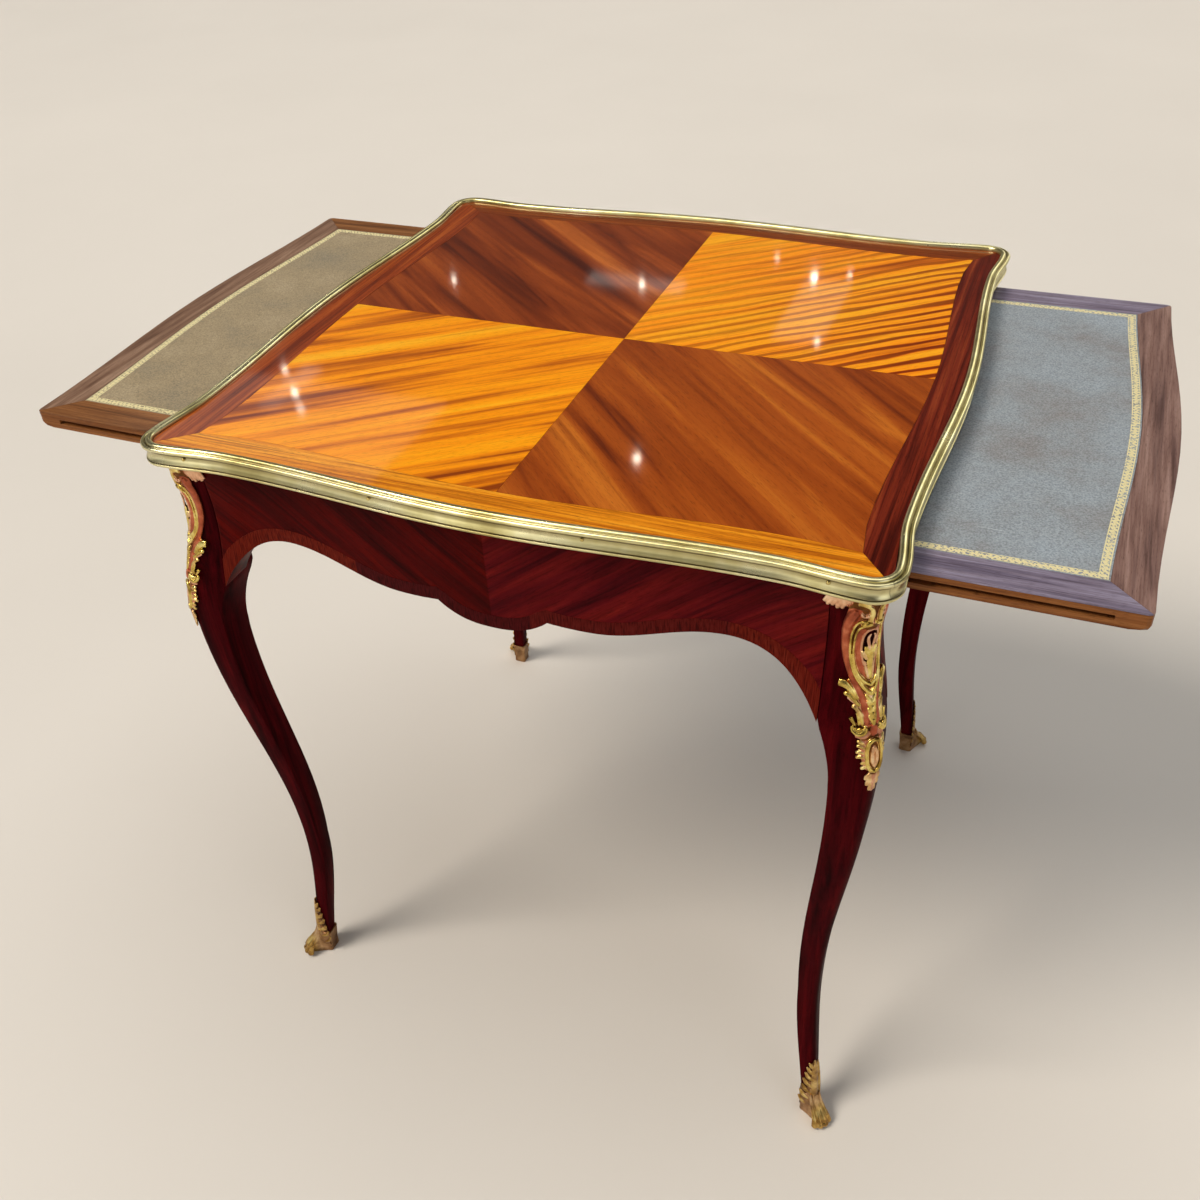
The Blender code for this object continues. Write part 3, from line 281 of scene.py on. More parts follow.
def polishedVeneer(name, look):
    # Sawn veneer under French polish: soft streaks, fine lines, short dark pores and a mirror-like skin
    made, add, shader = startMaterial(name)
    place = (add("TexCoord"), "Object")
    laid = place
    if "bookHalvesAndSheen" in look:
        # Leaves opened like a book from the middle
        laid = add("VectorMath", {0: place}, operation="ABSOLUTE")
    turned = add("Mapping", {"Vector": laid, "Location": look["shift"],
                             "Rotation": [math.radians(-angle) for angle in look["turn"]]})
    marks = []
    for cell, detail, waver in (look["streak"], look["line"], look["pore"]):
        scaled = add("Mapping", {"Vector": turned, "Scale": [1000 / size for size in cell]})
        marks.append(add("TexNoise", {"Vector": scaled, "Scale": 1.0, "Detail": detail,
                                      "Roughness": 0.55, "Distortion": waver}))
    streaks, lines, pores = marks
    colour = add("ValToRGB", {"Fac": streaks}, list(zip(look["coloursAt"], look["colours"])))
    layers = []
    if "stripes" in look:
        # Ribbon figure of quarter-sawn timber: near-regular stripes along the grain, fading to one side
        stripes = look["stripes"]
        drawn = add("Mapping", {"Vector": turned, "Scale": (0.3, 1.0, 1.0)})
        bands = add("TexWave", {"Vector": drawn, "Scale": waveBand / stripes["width"],
                                "Distortion": 7.0, "Detail": 2.0, "Detail Scale": 0.7,
                                "Detail Roughness": 0.6}, bands_direction="Y")
        shade = add("ValToRGB", {"Fac": (bands, "Fac")}, stripes["colours"])
        where = add("Mapping", {"Vector": place, "Scale": stripes["fade"]})
        apart = add("SeparateXYZ", {"Vector": where})
        slant = add("Math", {0: (apart, "X"), 1: (apart, "Y")}, operation="ADD")
        fade = add("Math", {0: slant, 1: stripes["depth"]}, operation="ADD", use_clamp=True)
        layers.append((fade, shade))
    lineStops = list(zip(look["linesAt"], (*look["lines"], "#FFFFFF")))
    layers.append((look["lineDepth"], add("ValToRGB", {"Fac": lines}, lineStops)))
    poreStops = [(0.30, "#5A2A12"), (0.44, "#FFFFFF")]
    layers.append((look["poreDepth"], add("ValToRGB", {"Fac": pores}, poreStops)))
    # The two halves tinted apart, warm left of the middle and cool right of it: painted light, as each half
    # takes it
    if "bookHalvesAndSheen" in look:
        apart = add("SeparateXYZ", {"Vector": place})
        half = add("MapRange", {"Value": (apart, "X"), "From Min": -0.0005, "From Max": 0.0005})
        halfSheenStops = list(zip((0.0, 1.0), look["bookHalvesAndSheen"]))
        layers.append((1.0, add("ValToRGB", {"Fac": half}, halfSheenStops)))
    for depth, layer in layers:
        colour = add("Mix", {"Factor": depth, "A": colour, "B": layer}, **multiply)
    smear = add("TexNoise", {"Vector": place, "Scale": 14.0, "Detail": 4.0})
    gloss = add("MapRange", {"Value": smear, "From Min": 0.35, "From Max": 0.75,
                             "To Min": look["rough"], "To Max": look["rough"] + 0.04})
    swell = add("TexNoise", {"Vector": place, "Scale": 1000 / look["swell"], "Detail": 1.0})
    bump = add("Bump", {"Height": swell, "Strength": look["bump"], "Distance": 0.001})
    feed(shader, {"Base Color": colour, "Roughness": gloss, "Normal": bump, "Coat Weight": look["coat"],
                  "Coat Roughness": look["coatRough"], "Specular IOR Level": look["specular"]})
    return made


# Marks have their cell, its length, width and depth in millimetres with the grain along x once turned, then
# their detail and their waver
veneer = {"turn": (0, 0, 0), "shift": (0, 0, 0), "pore": ((9, 0.7, 0.7), 2.0, 0.0), "lineDepth": 0.5,
          "poreDepth": 0.5, "coloursAt": (0.32, 0.5, 0.7), "linesAt": (0.34, 0.5, 0.7)}
polish = {**veneer, "rough": 0.32, "swell": 26, "bump": 0.10, "coat": 0.6, "coatRough": 0.05,
          "specular": 0.10}
satin = {**veneer, "rough": 0.42, "swell": 14, "bump": 0.12, "coat": 0.10, "coatRough": 0.12,
         "specular": 0.06}
# One kingwood veneer in four quarters: the golden and the dark pairs are painted sheen, each coloured as its
# grain throws back the light
quarters = {
    "golden kingwood front left": {
        "turn": (0, 0, 36), "streak": ((620, 26, 60), 4.0, 0.35), "line": ((160, 5.5, 20), 3.0, 0.2),
        "poreDepth": 0.35, "coloursAt": (0.34, 0.40, 0.47, 0.60, 0.66),
        "colours": ("#8E3E06", "#CC6E0C", "#FA980C", "#FFA810", "#FFB420"),
        "linesAt": (0.32, 0.46, 0.6), "lines": ("#B87838", "#FBEAD0")},
    "golden kingwood back right": {
        "turn": (0, 0, 38), "streak": ((480, 30, 60), 2.0, 0.3), "line": ((140, 4.5, 20), 3.0, 0.2),
        "poreDepth": 0.3, "coloursAt": (0.28, 0.40, 0.66), "colours": ("#C0620C", "#FF9A14", "#FFB01E"),
        "linesAt": (0.32, 0.46, 0.6), "lines": ("#BA7A3A", "#FBEAD0"),
        "stripes": {"width": 15.0, "depth": 0.30, "fade": (2.6, -0.9, 0.0),
                    "colours": [(0.16, "#84543E"), (0.32, "#D89E84"), (0.50, "#FFFFFF")]}},
    "dark kingwood back left": {
        "turn": (0, 0, -41), "streak": ((460, 34, 60), 3.0, 0.7), "line": ((170, 6.0, 20), 3.0, 0.3),
        "lineDepth": 0.4, "poreDepth": 0.35, "coloursAt": (0.30, 0.42, 0.58, 0.74),
        "colours": ("#4E1A08", "#7C3410", "#9C4A1A", "#C46E2C"),
        "linesAt": (0.32, 0.5, 0.7), "lines": ("#A5745A", "#F0D8C8")},
    "dark kingwood front right": {
        "turn": (0, 0, -45), "shift": (0.4, 0.13, 0.0), "streak": ((480, 38, 60), 4.0, 0.7),
        "line": ((170, 6.0, 20), 3.0, 0.3), "lineDepth": 0.45, "poreDepth": 0.4,
        "coloursAt": (0.30, 0.40, 0.56, 0.74), "colours": ("#5E220C", "#924210", "#AC5618", "#D47E28"),
        "linesAt": (0.32, 0.5, 0.7), "lines": ("#A5745A", "#F0D8C8")},
}
for name, look in quarters.items():
    cover(polishedVeneer(name, {**polish, **look}), "veneer_" + "_".join(name.split()[2:]))
# One rosewood banding all round, coloured side by side as it is lit, golden at the front and dark purple at
# the right: painted light
bandColoursAsLit = {"front": ("#BC6810", "#EC961A", "#FFB432"), "back": ("#6A2A0A", "#8C4212", "#9A501A"),
               "left": ("#6C260A", "#9C4416", "#BA6226"), "right": ("#48120A", "#762816", "#9E4826")}
for side, colours in bandColoursAsLit.items():
    cover(polishedVeneer("lit rosewood banding " + side, {
        **polish, "turn": (0, 0, 90 if sideWays[side][0] else 0), "streak": ((260, 7, 40), 3.0, 0.25),
        "line": ((90, 1.8, 20), 2.0, 0.2), "pore": ((8, 0.6, 0.6), 2.0, 0.0), "lineDepth": 0.65,
        "colours": colours, "lines": ("#A07850", "#F0DCC8")}), "band_" + side)
apronWood = {}
for side, way in sideWays.items():
    streak, line = ((width, length, width) if way[0] else (length, width, width)
                    for length, width in ((460, 15), (130, 3.2)))
    # Its halves tinted warm on the left and cool on the right: painted light
    apronWood[side] = polishedVeneer("rosewood apron " + side, {
        **satin, "coat": 0.02, "specular": 0.02, "bookHalvesAndSheen": ("#A47C66", "#C8D8FF"),
        "turn": (36, 0, 0) if way[0] else (0, -36, 0), "streak": (streak, 3.0, 0.3), "line": (line, 3.0, 0.2),
        "pore": ((8, 0.7, 0.7), 2.0, 0.0), "lineDepth": 0.6, "poreDepth": 0.45,
        "coloursAt": (0.30, 0.46, 0.60, 0.76), "colours": ("#42050A", "#690D0F", "#821812", "#A42C18"),
        "lines": ("#8A5A58", "#EBD0C8")})
legWood = polishedVeneer("rosewood leg veneer", {
    **satin, "coat": 0.0, "specular": 0.01, "turn": (0, 90, 0), "streak": ((420, 12, 12), 3.0, 0.3),
    "line": ((120, 2.4, 2.4), 3.0, 0.2), "pore": ((9, 0.6, 0.6), 2.0, 0.0),
    "colours": ("#200204", "#3A0308", "#52090D"), "lines": ("#A58078", "#F0DCD6")})
cover(polishedVeneer("rosewood slide edge", {
    **satin, "streak": ((260, 150, 7), 3.0, 0.3), "line": ((90, 70, 2.0), 3.0, 0.2),
    "pore": ((9, 6.0, 0.6), 2.0, 0.0), "colours": ("#5A3016", "#80502A", "#A06C3C"),
    "lines": ("#A58A78", "#F0E0D6")}), "slide_board")
cover(polishedVeneer("planed oak", {
    **satin, "streak": ((300, 14, 14), 3.0, 0.3), "line": ((90, 2.0, 2.0), 3.0, 0.2),
    "pore": ((7, 0.5, 0.5), 2.0, 0.0), "poreDepth": 0.6, "coat": 0.0, "rough": 0.6,
    "colours": ("#6E4C2A", "#8A6438", "#A27C4C"), "lines": ("#B59A78", "#F0E6D6")}),
      "runner", "cross_rail", "corner_block", "slide_stop", "top_board")
# Each slide's banding coloured as it is lit, brown on the left and violet grey on the right: painted light
slideBandColoursAsLit = {
    "left along": ("#5C391E", "#845630", "#A06E42"), "left across": ("#644838", "#8A6C58", "#A68A74"),
    "right along": ("#5E566A", "#827A8E", "#9C96AA"), "right across": ("#604A46", "#866A62", "#A2867C")}
for name, colours in slideBandColoursAsLit.items():
    side, run = name.split()
    dullWood = polishedVeneer("dull rosewood band as lit " + name, {
        **satin, "turn": (0, 0, 0 if run == "along" else 90), "streak": ((150, 9, 40), 4.0, 0.5),
        "line": ((60, 1.8, 20), 3.0, 0.2), "pore": ((8, 0.6, 0.6), 2.0, 0.0), "poreDepth": 0.4, "coat": 0.3,
        "coloursAt": (0.30, 0.5, 0.72), "colours": colours,
        "linesAt": (0.34, 0.5, 0.66), "lines": ("#9A8278", "#F0E6E0")})
    for where in ("front", "back") if run == "along" else ("end", "inner"):
        cover(dullWood, "slide_band_" + where + "_" + side)
print("woods ready")


def crossbanding(name):
    # Short-grained veneer laid square to the scalloped edge in lengths of about a hand
    made, add, shader = startMaterial(name)
    strip = add("UVMap", uv_map="Strip")
    apart = add("SeparateXYZ", {"Vector": strip})
    lengths = add("Math", {0: (apart, "X"), 1: 0.178}, operation="DIVIDE")
    number = add("Math", {0: lengths}, operation="FLOOR")
    chance = add("TexWhiteNoise", {"W": number}, noise_dimensions="1D")
    tone = add("ValToRGB", {"Fac": chance},
               [(0.0, "#3A0A12"), (0.4, "#54140F"), (0.7, "#6E2410"), (1.0, "#420C16")])
    grain = add("Mapping", {"Vector": strip, "Scale": (680.0, 1.3, 1.0)})
    fine = add("TexNoise", {"Vector": grain, "Scale": 1.0, "Detail": 3.0})
    lined = add("ValToRGB", {"Fac": fine}, [(0.34, "#7A3A30"), (0.5, "#E0A89A"), (0.7, "#FFFFFF")])
    both = add("Mix", {"Factor": 0.85, "A": tone, "B": lined}, **multiply)
    feed(shader, {"Base Color": both, "Roughness": 0.42, "Specular IOR Level": 0.03})
    return made


def agedMetal(name, look):
    # Drawn metal rubbed bright, with thin tarnish in patches, and the hollows darkened by old polish and dust
    # and by painted shade
    made, add, shader = startMaterial(name)
    patch = add("TexNoise", {"Vector": (add("TexCoord"), "Object"), "Detail": 4.0,
                             "Scale": 1000 / look["patch"], "Roughness": 0.6})
    tone = add("ValToRGB", {"Fac": patch}, look["colours"])
    hollow = add("Attribute", attribute_name="hollow")
    # Dark brown where the hollow attribute says: dirt there, and painted shade
    dirtiedAndShaded = add("Mix", {"Factor": (hollow, "Fac"), "A": tone, "B": hexColour("#3A2008")}, **blend)
    rough = add("MapRange", {"Value": patch, "From Min": 0.35, "From Max": 0.7,
                             "To Min": look["rough"][1], "To Max": look["rough"][0]})
    feed(shader, {"Base Color": dirtiedAndShaded, "Roughness": rough, "Metallic": 1.0})
    return made


brassMetal = agedMetal("old polished brass", {
    "patch": 60, "rough": (0.26, 0.32), "colours": [(0.30, "#A89A62"), (0.48, "#CDC28A"), (0.66, "#E4DCAE")]})
pinMetal = agedMetal("brass pin heads", {
    "patch": 3, "rough": (0.2, 0.3), "colours": [(0.30, "#A88C48"), (0.66, "#E2CE88")]})


def gildedBronze(name, look):
    # Fire-gilt bronze: burnished on the ribs, matt and coppery in the straps, and dark brown on the ground
    # between the reliefs as painted shade, as the finish attribute says
    made, add, shader = startMaterial(name)
    place = (add("TexCoord"), "Object")
    worked = (add("Attribute", attribute_name="finish"), "Fac")
    patch = add("TexNoise", {"Vector": place, "Scale": 90.0, "Detail": 3.0, "Roughness": 0.55})
    tones = {key: add("ValToRGB", {"Fac": patch}, list(zip(look["at"], look[key])))
             for key in ("gold", "ruffle", "copper", "shadedGround")}
    colour = tones["gold"]
    for key, low, high in (("ruffle", 0.1, 0.45), ("copper", 0.6, 0.9), ("shadedGround", 1.1, 1.4)):
        share = add("MapRange", {"Value": worked, "From Min": low, "From Max": high})
        colour = add("Mix", {"Factor": share, "A": colour, "B": tones[key]}, **blend)
    matt = add("Math", {0: worked, 1: 0.18, 2: look["rough"]}, operation="MULTIPLY_ADD")
    worn = add("Math", {0: patch, 1: 0.12, 2: matt}, operation="MULTIPLY_ADD")
    fine = add("TexNoise", {"Vector": place, "Scale": 900.0, "Detail": 2.0})
    bump = add("Bump", {"Height": fine, "Strength": 0.15, "Distance": 0.0002})
    feed(shader, {"Base Color": colour, "Roughness": worn, "Normal": bump, "Metallic": 1.0})
    return made


# The ground's dark browns are painted shade between the reliefs
mountMetal = gildedBronze("gilt bronze corner mounts", {
    "rough": 0.20, "at": (0.30, 0.5, 0.68), "gold": ("#927430", "#D2B45C", "#F4E28E"),
    "ruffle": ("#B4805E", "#DEAC86", "#F0CDA8"), "copper": ("#8E4630", "#B45E40", "#CE7E5A"),
    "shadedGround": ("#4A2A12", "#6E4420", "#8A5A2C")})
shoeMetal = gildedBronze("gilt bronze shoes", {
    "rough": 0.22, "at": (0.32, 0.5, 0.68), "gold": ("#7E5A2C", "#B48E4C", "#DCC078"),
    "ruffle": ("#8A6848", "#B89468", "#D4B68C"), "copper": ("#4A2814", "#7A4A28", "#9A683C"),
    "shadedGround": ("#3A2010", "#5A3A1E", "#74502A")})

# Sums that draw the tooled scroll from a place along and across its strip: a stem that swings to and fro,
# a bud in each of its bends, and a fillet along either edge
scrollSums = (
    ("phase", "MULTIPLY", "along", "wave"), ("swing", "SINE", "phase"), ("off", "SUBTRACT", "across", 0.5),
    ("stemAt", "MULTIPLY", "swing", 0.20), ("fromStem", "SUBTRACT", "off", "stemAt"),
    ("stem", "ABSOLUTE", "fromStem"), ("onStem", "LESS_THAN", "stem", 0.15),
    ("budAt", "MULTIPLY", "swing", 0.17), ("fromBud", "ADD", "off", "budAt"), ("bud", "ABSOLUTE", "fromBud"),
    ("nearBud", "LESS_THAN", "bud", 0.20), ("swung", "ABSOLUTE", "swing"),
    ("inBend", "GREATER_THAN", "swung", 0.35), ("onBud", "MULTIPLY", "nearBud", "inBend"),
    ("aside", "ABSOLUTE", "off"), ("fromFillet", "SUBTRACT", "aside", 0.41),
    ("fillet", "ABSOLUTE", "fromFillet"), ("onFillet", "LESS_THAN", "fillet", 0.065),
    ("scroll", "MAXIMUM", "onStem", "onBud"),
    ("marks", "MAXIMUM", "scroll", "onFillet"), ("gold", "MULTIPLY", "marks", "kept"),
    ("shine", "MULTIPLY", "gold", 0.35))


def tooledLeather(name, look, tooled=False):
    # Goatskin with a pebbled grain, drawn at 1.6 mm to show, rubbed pale in patches and finely scratched, and
    # gold leaf pressed in as a scroll where it is tooled
    made, add, shader = startMaterial(name)
    place = (add("TexCoord"), "Object")
    broad = add("TexNoise", {"Vector": place, "Scale": 11.0, "Detail": 5.0, "Roughness": 0.62})
    hide = add("ValToRGB", {"Fac": broad}, look["colours"])
    small = add("TexNoise", {"Vector": place, "Scale": 620.0, "Detail": 2.0, "Roughness": 0.6})
    fleck = add("ValToRGB", {"Fac": small},
                [(0.34, "#8C8C8C"), (0.50, "#D8D8D8"), (0.66, "#FFFFFF")])
    mottled = add("Mix", {"Factor": 0.6, "A": hide, "B": fleck}, **multiply)
    askew = add("Mapping", {"Vector": place, "Rotation": (0, 0, 0.5), "Scale": (26.0, 900.0, 26.0)})
    scratch = add("TexNoise", {"Vector": askew, "Scale": 1.0, "Detail": 2.0, "Distortion": 0.6})
    scratched = add("MapRange", {"Value": scratch, "From Min": 0.70, "From Max": 0.76,
                                 "To Max": 0.45})
    bare = hexColour(look["scratch"])
    colour = add("Mix", {"Factor": scratched, "A": mottled, "B": bare}, **blend)
    pebbles = add("TexVoronoi", {"Vector": place, "Scale": 640.0})
    bump = add("Bump", {"Height": pebbles, "Strength": 0.5, "Distance": 0.0004}, invert=True)
    feed(shader, {"Normal": bump, "Roughness": look["rough"], "Specular IOR Level": 0.35})
    if tooled:
        apart = add("SeparateXYZ", {"Vector": add("UVMap", uv_map="Strip")})
        rub = add("TexNoise", {"Vector": place, "Scale": 420.0, "Detail": 3.0})
        found = {"along": (apart, "X"), "across": (apart, "Y"), "wave": 2 * math.pi / look["motif"],
                 "kept": add("MapRange", {"Value": rub, "From Min": 0.34, "From Max": 0.44})}
        for key, operation, *values in scrollSums:
            values = [found.get(value, value) for value in values]
            found[key] = add("Math", dict(enumerate(values)), operation=operation)
        leaf = hexColour("#F0E4B0")
        colour = add("Mix", {"Factor": found["gold"], "A": colour, "B": leaf}, **blend)
        feed(shader, {"Metallic": found["shine"]})
    feed(shader, {"Base Color": colour})
    return made


# One dark leather, coloured as each slide is lit: warm olive on the left, a paler cool slate on the right
# brightened for its sheen, all painted light
leatherLooksAsLit = {
    "left": {"rough": 0.50, "motif": 0.0095, "scratch": "#D6C8AC",
             "colours": [(0.30, "#988C74"), (0.5, "#AA9878"), (0.72, "#BAA888")]},
    "right": {"rough": 0.46, "motif": 0.0095, "scratch": "#C6D0D8",
              "colours": [(0.30, "#928F8E"), (0.5, "#9EA6AC"), (0.72, "#A8B4BE")]},
}
for side, look in leatherLooksAsLit.items():
    cover(tooledLeather("lit goatskin " + side, look), "slide_leather_" + side)
print("metals and leathers ready")


# Legs: one extruded ring by ring from the top of the post to the foot, then mirrored to the other corners
legShape = {
    "top": 0.7272, "foot": 0.0106, "rings": 84, "neckDrop": 0.050, "neckInset": 0.003, "kneeDrop": 0.1675,
    "kneeBulge": 0.014, "ankleHeight": 0.200, "ankleInset": 0.0154, "ankleWidth": 0.0207, "footInset": 0.0045,
    "footWidth": 0.0125, "taper": 0.047, "archDrop": 0.0713, "archRise": 0.1262, "archReach": 0.094,
    "archFromPost": 0.080, "edge": 0.0016,
    "cornerFrom": 0.4, "longEdge": 0.002,  # least distance of a corner from the middle, in widths
    "round": 0.27, "roundSteps": 8,  # radius of the arris as a share of the width
}


def cornerInset(height):
    # The cabriole curve: how far the arris stands in from the post's corner, along x and y alike
    underside = tablePlan["underside"]
    marks = [(underside, 0.0), (underside - legShape["neckDrop"], legShape["neckInset"]),
             (underside - legShape["kneeDrop"], -legShape["kneeBulge"]),
             (legShape["ankleHeight"], legShape["ankleInset"]), (0.0, legShape["footInset"])]
    for (high, above), (low, below) in zip(marks, marks[1:]):
        if height >= low:
            break
    return above + (below - above) * ease((high - height) / (high - low))


def shankWidth(height):
    ankle = legShape["ankleHeight"]
    if height >= ankle:
        return legShape["ankleWidth"] + legShape["taper"] * (height - ankle)
    swell = math.sin(math.pi / 2 * height / ankle)
    return legShape["footWidth"] + (legShape["ankleWidth"] - legShape["footWidth"]) * swell


def legWidth(height):
    archFoot = tablePlan["underside"] - legShape["archDrop"] - legShape["archRise"]
    share = min(1.0, legShape["archFromPost"] / legShape["archReach"])
    joint = archFoot + legShape["archRise"] * math.sqrt(1 - share * share)
    post = tablePlan["postWidth"] - cornerInset(height)
    if height >= joint:
        return post
    if height <= archFoot:
        return shankWidth(height)
    rise = (height - archFoot) / legShape["archRise"]
    reach = legShape["archReach"] * math.sqrt(1 - rise * rise) - legShape["archFromPost"]
    return min(post, max(shankWidth(height), post - reach))


def legCentre(height):
    away = cornerInset(height) + legWidth(height) / 2
    return Vector((tablePlan["postCorner"][0] - away, tablePlan["postCorner"][1] - away, height))


def makeLegs():
    heights = spread(legShape["top"], legShape["foot"], legShape["rings"])
    bpy.ops.mesh.primitive_plane_add(size=legWidth(heights[0]), location=legCentre(heights[0]))
    leg = applyPlace(bpy.context.object, "leg_pattern")
    # The outer corner of the section is rounded before it is drawn down
    outer = max(leg.data.vertices, key=lambda vertex: vertex.co.x + vertex.co.y).index
    bpy.ops.object.mode_set(mode="EDIT")
    bpy.ops.mesh.select_mode(type="VERT")
    bpy.ops.mesh.select_all(action="DESELECT")
    bpy.ops.object.mode_set(mode="OBJECT")
    leg.data.vertices[outer].select = True
    bpy.ops.object.mode_set(mode="EDIT")
    bpy.ops.mesh.bevel(offset=legShape["round"] * legWidth(heights[0]), offset_type="OFFSET",
                       segments=legShape["roundSteps"], affect="VERTICES", clamp_overlap=True)
    bpy.ops.mesh.select_all(action="SELECT")
    for above, below in zip(heights, heights[1:]):
        step = legCentre(below) - legCentre(above)
        bpy.ops.mesh.extrude_region_move(TRANSFORM_OT_translate={"value": step})
        size = legWidth(below) / legWidth(above)
        bpy.ops.transform.resize(value=(size, size, 1), center_override=legCentre(below))
    bpy.ops.mesh.select_all(action="SELECT")
    bpy.ops.mesh.normals_make_consistent(inside=False)
    # The other three long edges are eased
    bpy.ops.mesh.select_all(action="DESELECT")
    bpy.ops.object.mode_set(mode="OBJECT")
    for edge in leg.data.edges:
        first, second = (leg.data.vertices[place].co for place in edge.vertices)
        middle = (first + second) / 2
        away = middle - legCentre(middle.z)
        near = legShape["cornerFrom"] * legWidth(middle.z)
        corner = min(abs(away.x), abs(away.y)) > near and min(away.x, away.y) < 0
        edge.select = corner and abs(first.z - second.z) > legShape["longEdge"]
    bpy.ops.object.mode_set(mode="EDIT")
    bpy.ops.mesh.select_mode(type="EDGE")
    bpy.ops.mesh.bevel(offset=legShape["edge"], segments=2, affect="EDGES", clamp_overlap=True)
    bpy.ops.object.mode_set(mode="OBJECT")
    smoothShade(leg, 35)
    toCorners(leg, "cabriole_leg_", "rosewood_leg", legWood, "leg_")


makeLegs()
print("legs ready")


# Aprons: a grid drawn to the scalloped front, bowed in plan and given its back
apron = {
    "columns": 220, "rows": 18,
    "top": (0.7085, 0.7272), "back": (0.294, 0.282),  # left and right, then front and back
    "middleLobe": 0.1083, "cusp": 0.0913, "sideLobe": 0.0938, "cuspAt": 0.052, "sideLobeAt": 0.092,
    "fullness": 2.6, "flow": 0.060, "gap": 0.0003, "edge": 0.0008,
    "banding": 0.0135, "bandingUp": 0.0004, "bandingThick": 0.0006, "proud": 0.0002, "steepest": 2.0,
}


def scallop(along, halfSpan):
    # Height of the lower edge: a full lobe in the middle, a cusp, a side lobe and the arch into the leg
    along = abs(along)
    archAt = halfSpan - legShape["archFromPost"]
    cuspAt, lobeAt, cusp, lobe = (apron[key] for key in ("cuspAt", "sideLobeAt", "cusp", "sideLobe"))
    if along <= cuspAt:
        drop = apron["middleLobe"] - (apron["middleLobe"] - cusp) * (along / cuspAt) ** apron["fullness"]
    elif along <= lobeAt:
        share = (lobeAt - along) / (lobeAt - cuspAt)
        drop = lobe - (lobe - cusp) * share * share
    elif along <= archAt:
        drop = lobe + (legShape["archDrop"] - lobe) * ease((along - lobeAt) / (archAt - lobeAt))
    else:
        share = min(1.0, (along - archAt) / legShape["archReach"])
        drop = legShape["archDrop"] + legShape["archRise"] * (1 - math.sqrt(1 - share * share))
    return tablePlan["underside"] - drop


def apronStations(halfSpan):
    # Evenly spread, with one on each cusp
    end = halfSpan - apron["gap"]
    stations = spread(-end, end, apron["columns"])
    for cusp in (-apron["cuspAt"], apron["cuspAt"]):
        nearest = min(range(len(stations)), key=lambda place: abs(stations[place] - cusp))
        stations[nearest] = cusp
    return stations


def facePlace(way, along, height, proud=0.0):
    # A place on the bowed face of the apron that looks that way
    axis = 0 if way[0] else 1
    end = tablePlan["postCorner"][1 - axis] - tablePlan["postWidth"] - apron["gap"]
    near = ease((abs(along) - end + apron["flow"]) / apron["flow"])
    post = tablePlan["postCorner"][axis] - cornerInset(height) - apron["gap"]
    out = sideEdge(axis, along) - tablePlan["apronIn"]
    out += near * (post - out) + proud
    return (way[0] * out, along, height) if axis == 0 else (along, way[1] * out, height)


def makeApron(side, way, wood, bandingWood):
    axis = 0 if way[0] else 1
    corner = tablePlan["postCorner"][1 - axis] - tablePlan["postWidth"]
    stations = apronStations(corner)
    top = apron["top"][axis]
    bpy.ops.mesh.primitive_grid_add(x_subdivisions=apron["columns"], y_subdivisions=apron["rows"], size=1)
    piece = bpy.context.object
    places = readPlaces(piece.data)
    for number, (x, y, z) in enumerate(places):
        along = stations[round((x + 0.5) * apron["columns"])]
        low = scallop(along, corner)
        places[number] = facePlace(way, along, low + (top - low) * (y + 0.5))
    writePlaces(piece.data, places)
    # The face is drawn back and pressed flat against the plane of the apron's back
    back = Vector((*way, 0)) * apron["back"][axis]
    pick(piece)
    editAll()
    bpy.ops.mesh.extrude_region_move(TRANSFORM_OT_translate={"value": (-way[0] * 0.02, -way[1] * 0.02, 0)})
    bpy.ops.transform.resize(value=(0 if axis == 0 else 1, 1 if axis == 0 else 0, 1), center_override=back)
    leaveOutwards()
    addModifier(piece, "BEVEL", width=apron["edge"], segments=2, limit_method="ANGLE",
                angle_limit=math.radians(55))
    piece.name = "scalloped_apron_" + side
    smoothShade(piece, 35)
    dress(piece, "table_frame", "rosewood_apron", wood, "apron_" + side)
    # Crossbanding let in along the scalloped edge
    lower, upper = [], []
    for place, along in enumerate(stations):
        before, after = stations[max(0, place - 3)], stations[min(len(stations) - 1, place + 3)]
        slope = (scallop(after, corner) - scallop(before, corner)) / (after - before)
        low = scallop(along, corner) + apron["bandingUp"]
        rise = apron["banding"] * math.sqrt(1 + min(slope * slope, apron["steepest"] ** 2))
        lower.append(facePlace(way, along, low, apron["proud"]))
        upper.append(facePlace(way, along, low + rise, apron["proud"]))
    if (way[0] or -way[1]) < 0:
        lower, upper = upper, lower
    strip = stripBetween("apron_banding_" + side, lower, upper, False)
    addModifier(strip, "SOLIDIFY", thickness=apron["bandingThick"], offset=-1.0)
    dress(strip, "table_frame", "rosewood_apron", bandingWood)


def stripBetween(name, first, second, closed):
    # A strip of faces between two lines of places, with metres along it and 0 to 1 across it as its UV map
    count = len(first)
    ends = range(count if closed else count - 1)
    faces = [(place, (place + 1) % count, count + (place + 1) % count, count + place) for place in ends]
    piece = addPiece(name, [*first, *second], faces)
    runs = [0.0]
    for place in ends:
        runs.append(runs[-1] + (Vector(first[(place + 1) % count]) - Vector(first[place])).length)
    layer = piece.data.uv_layers.new(name="Strip")
    for place, face in zip(ends, piece.data.polygons):
        corners = ((runs[place], 0.0), (runs[place + 1], 0.0), (runs[place + 1], 1.0), (runs[place], 1.0))
        for loop, corner in zip(face.loop_indices, corners):
            layer.data[loop].uv = corner
    return piece


apronBanding = crossbanding("rosewood crossbanding")
for side, way in sideWays.items():
    makeApron(side, way, apronWood[side], apronBanding)
print("aprons ready")


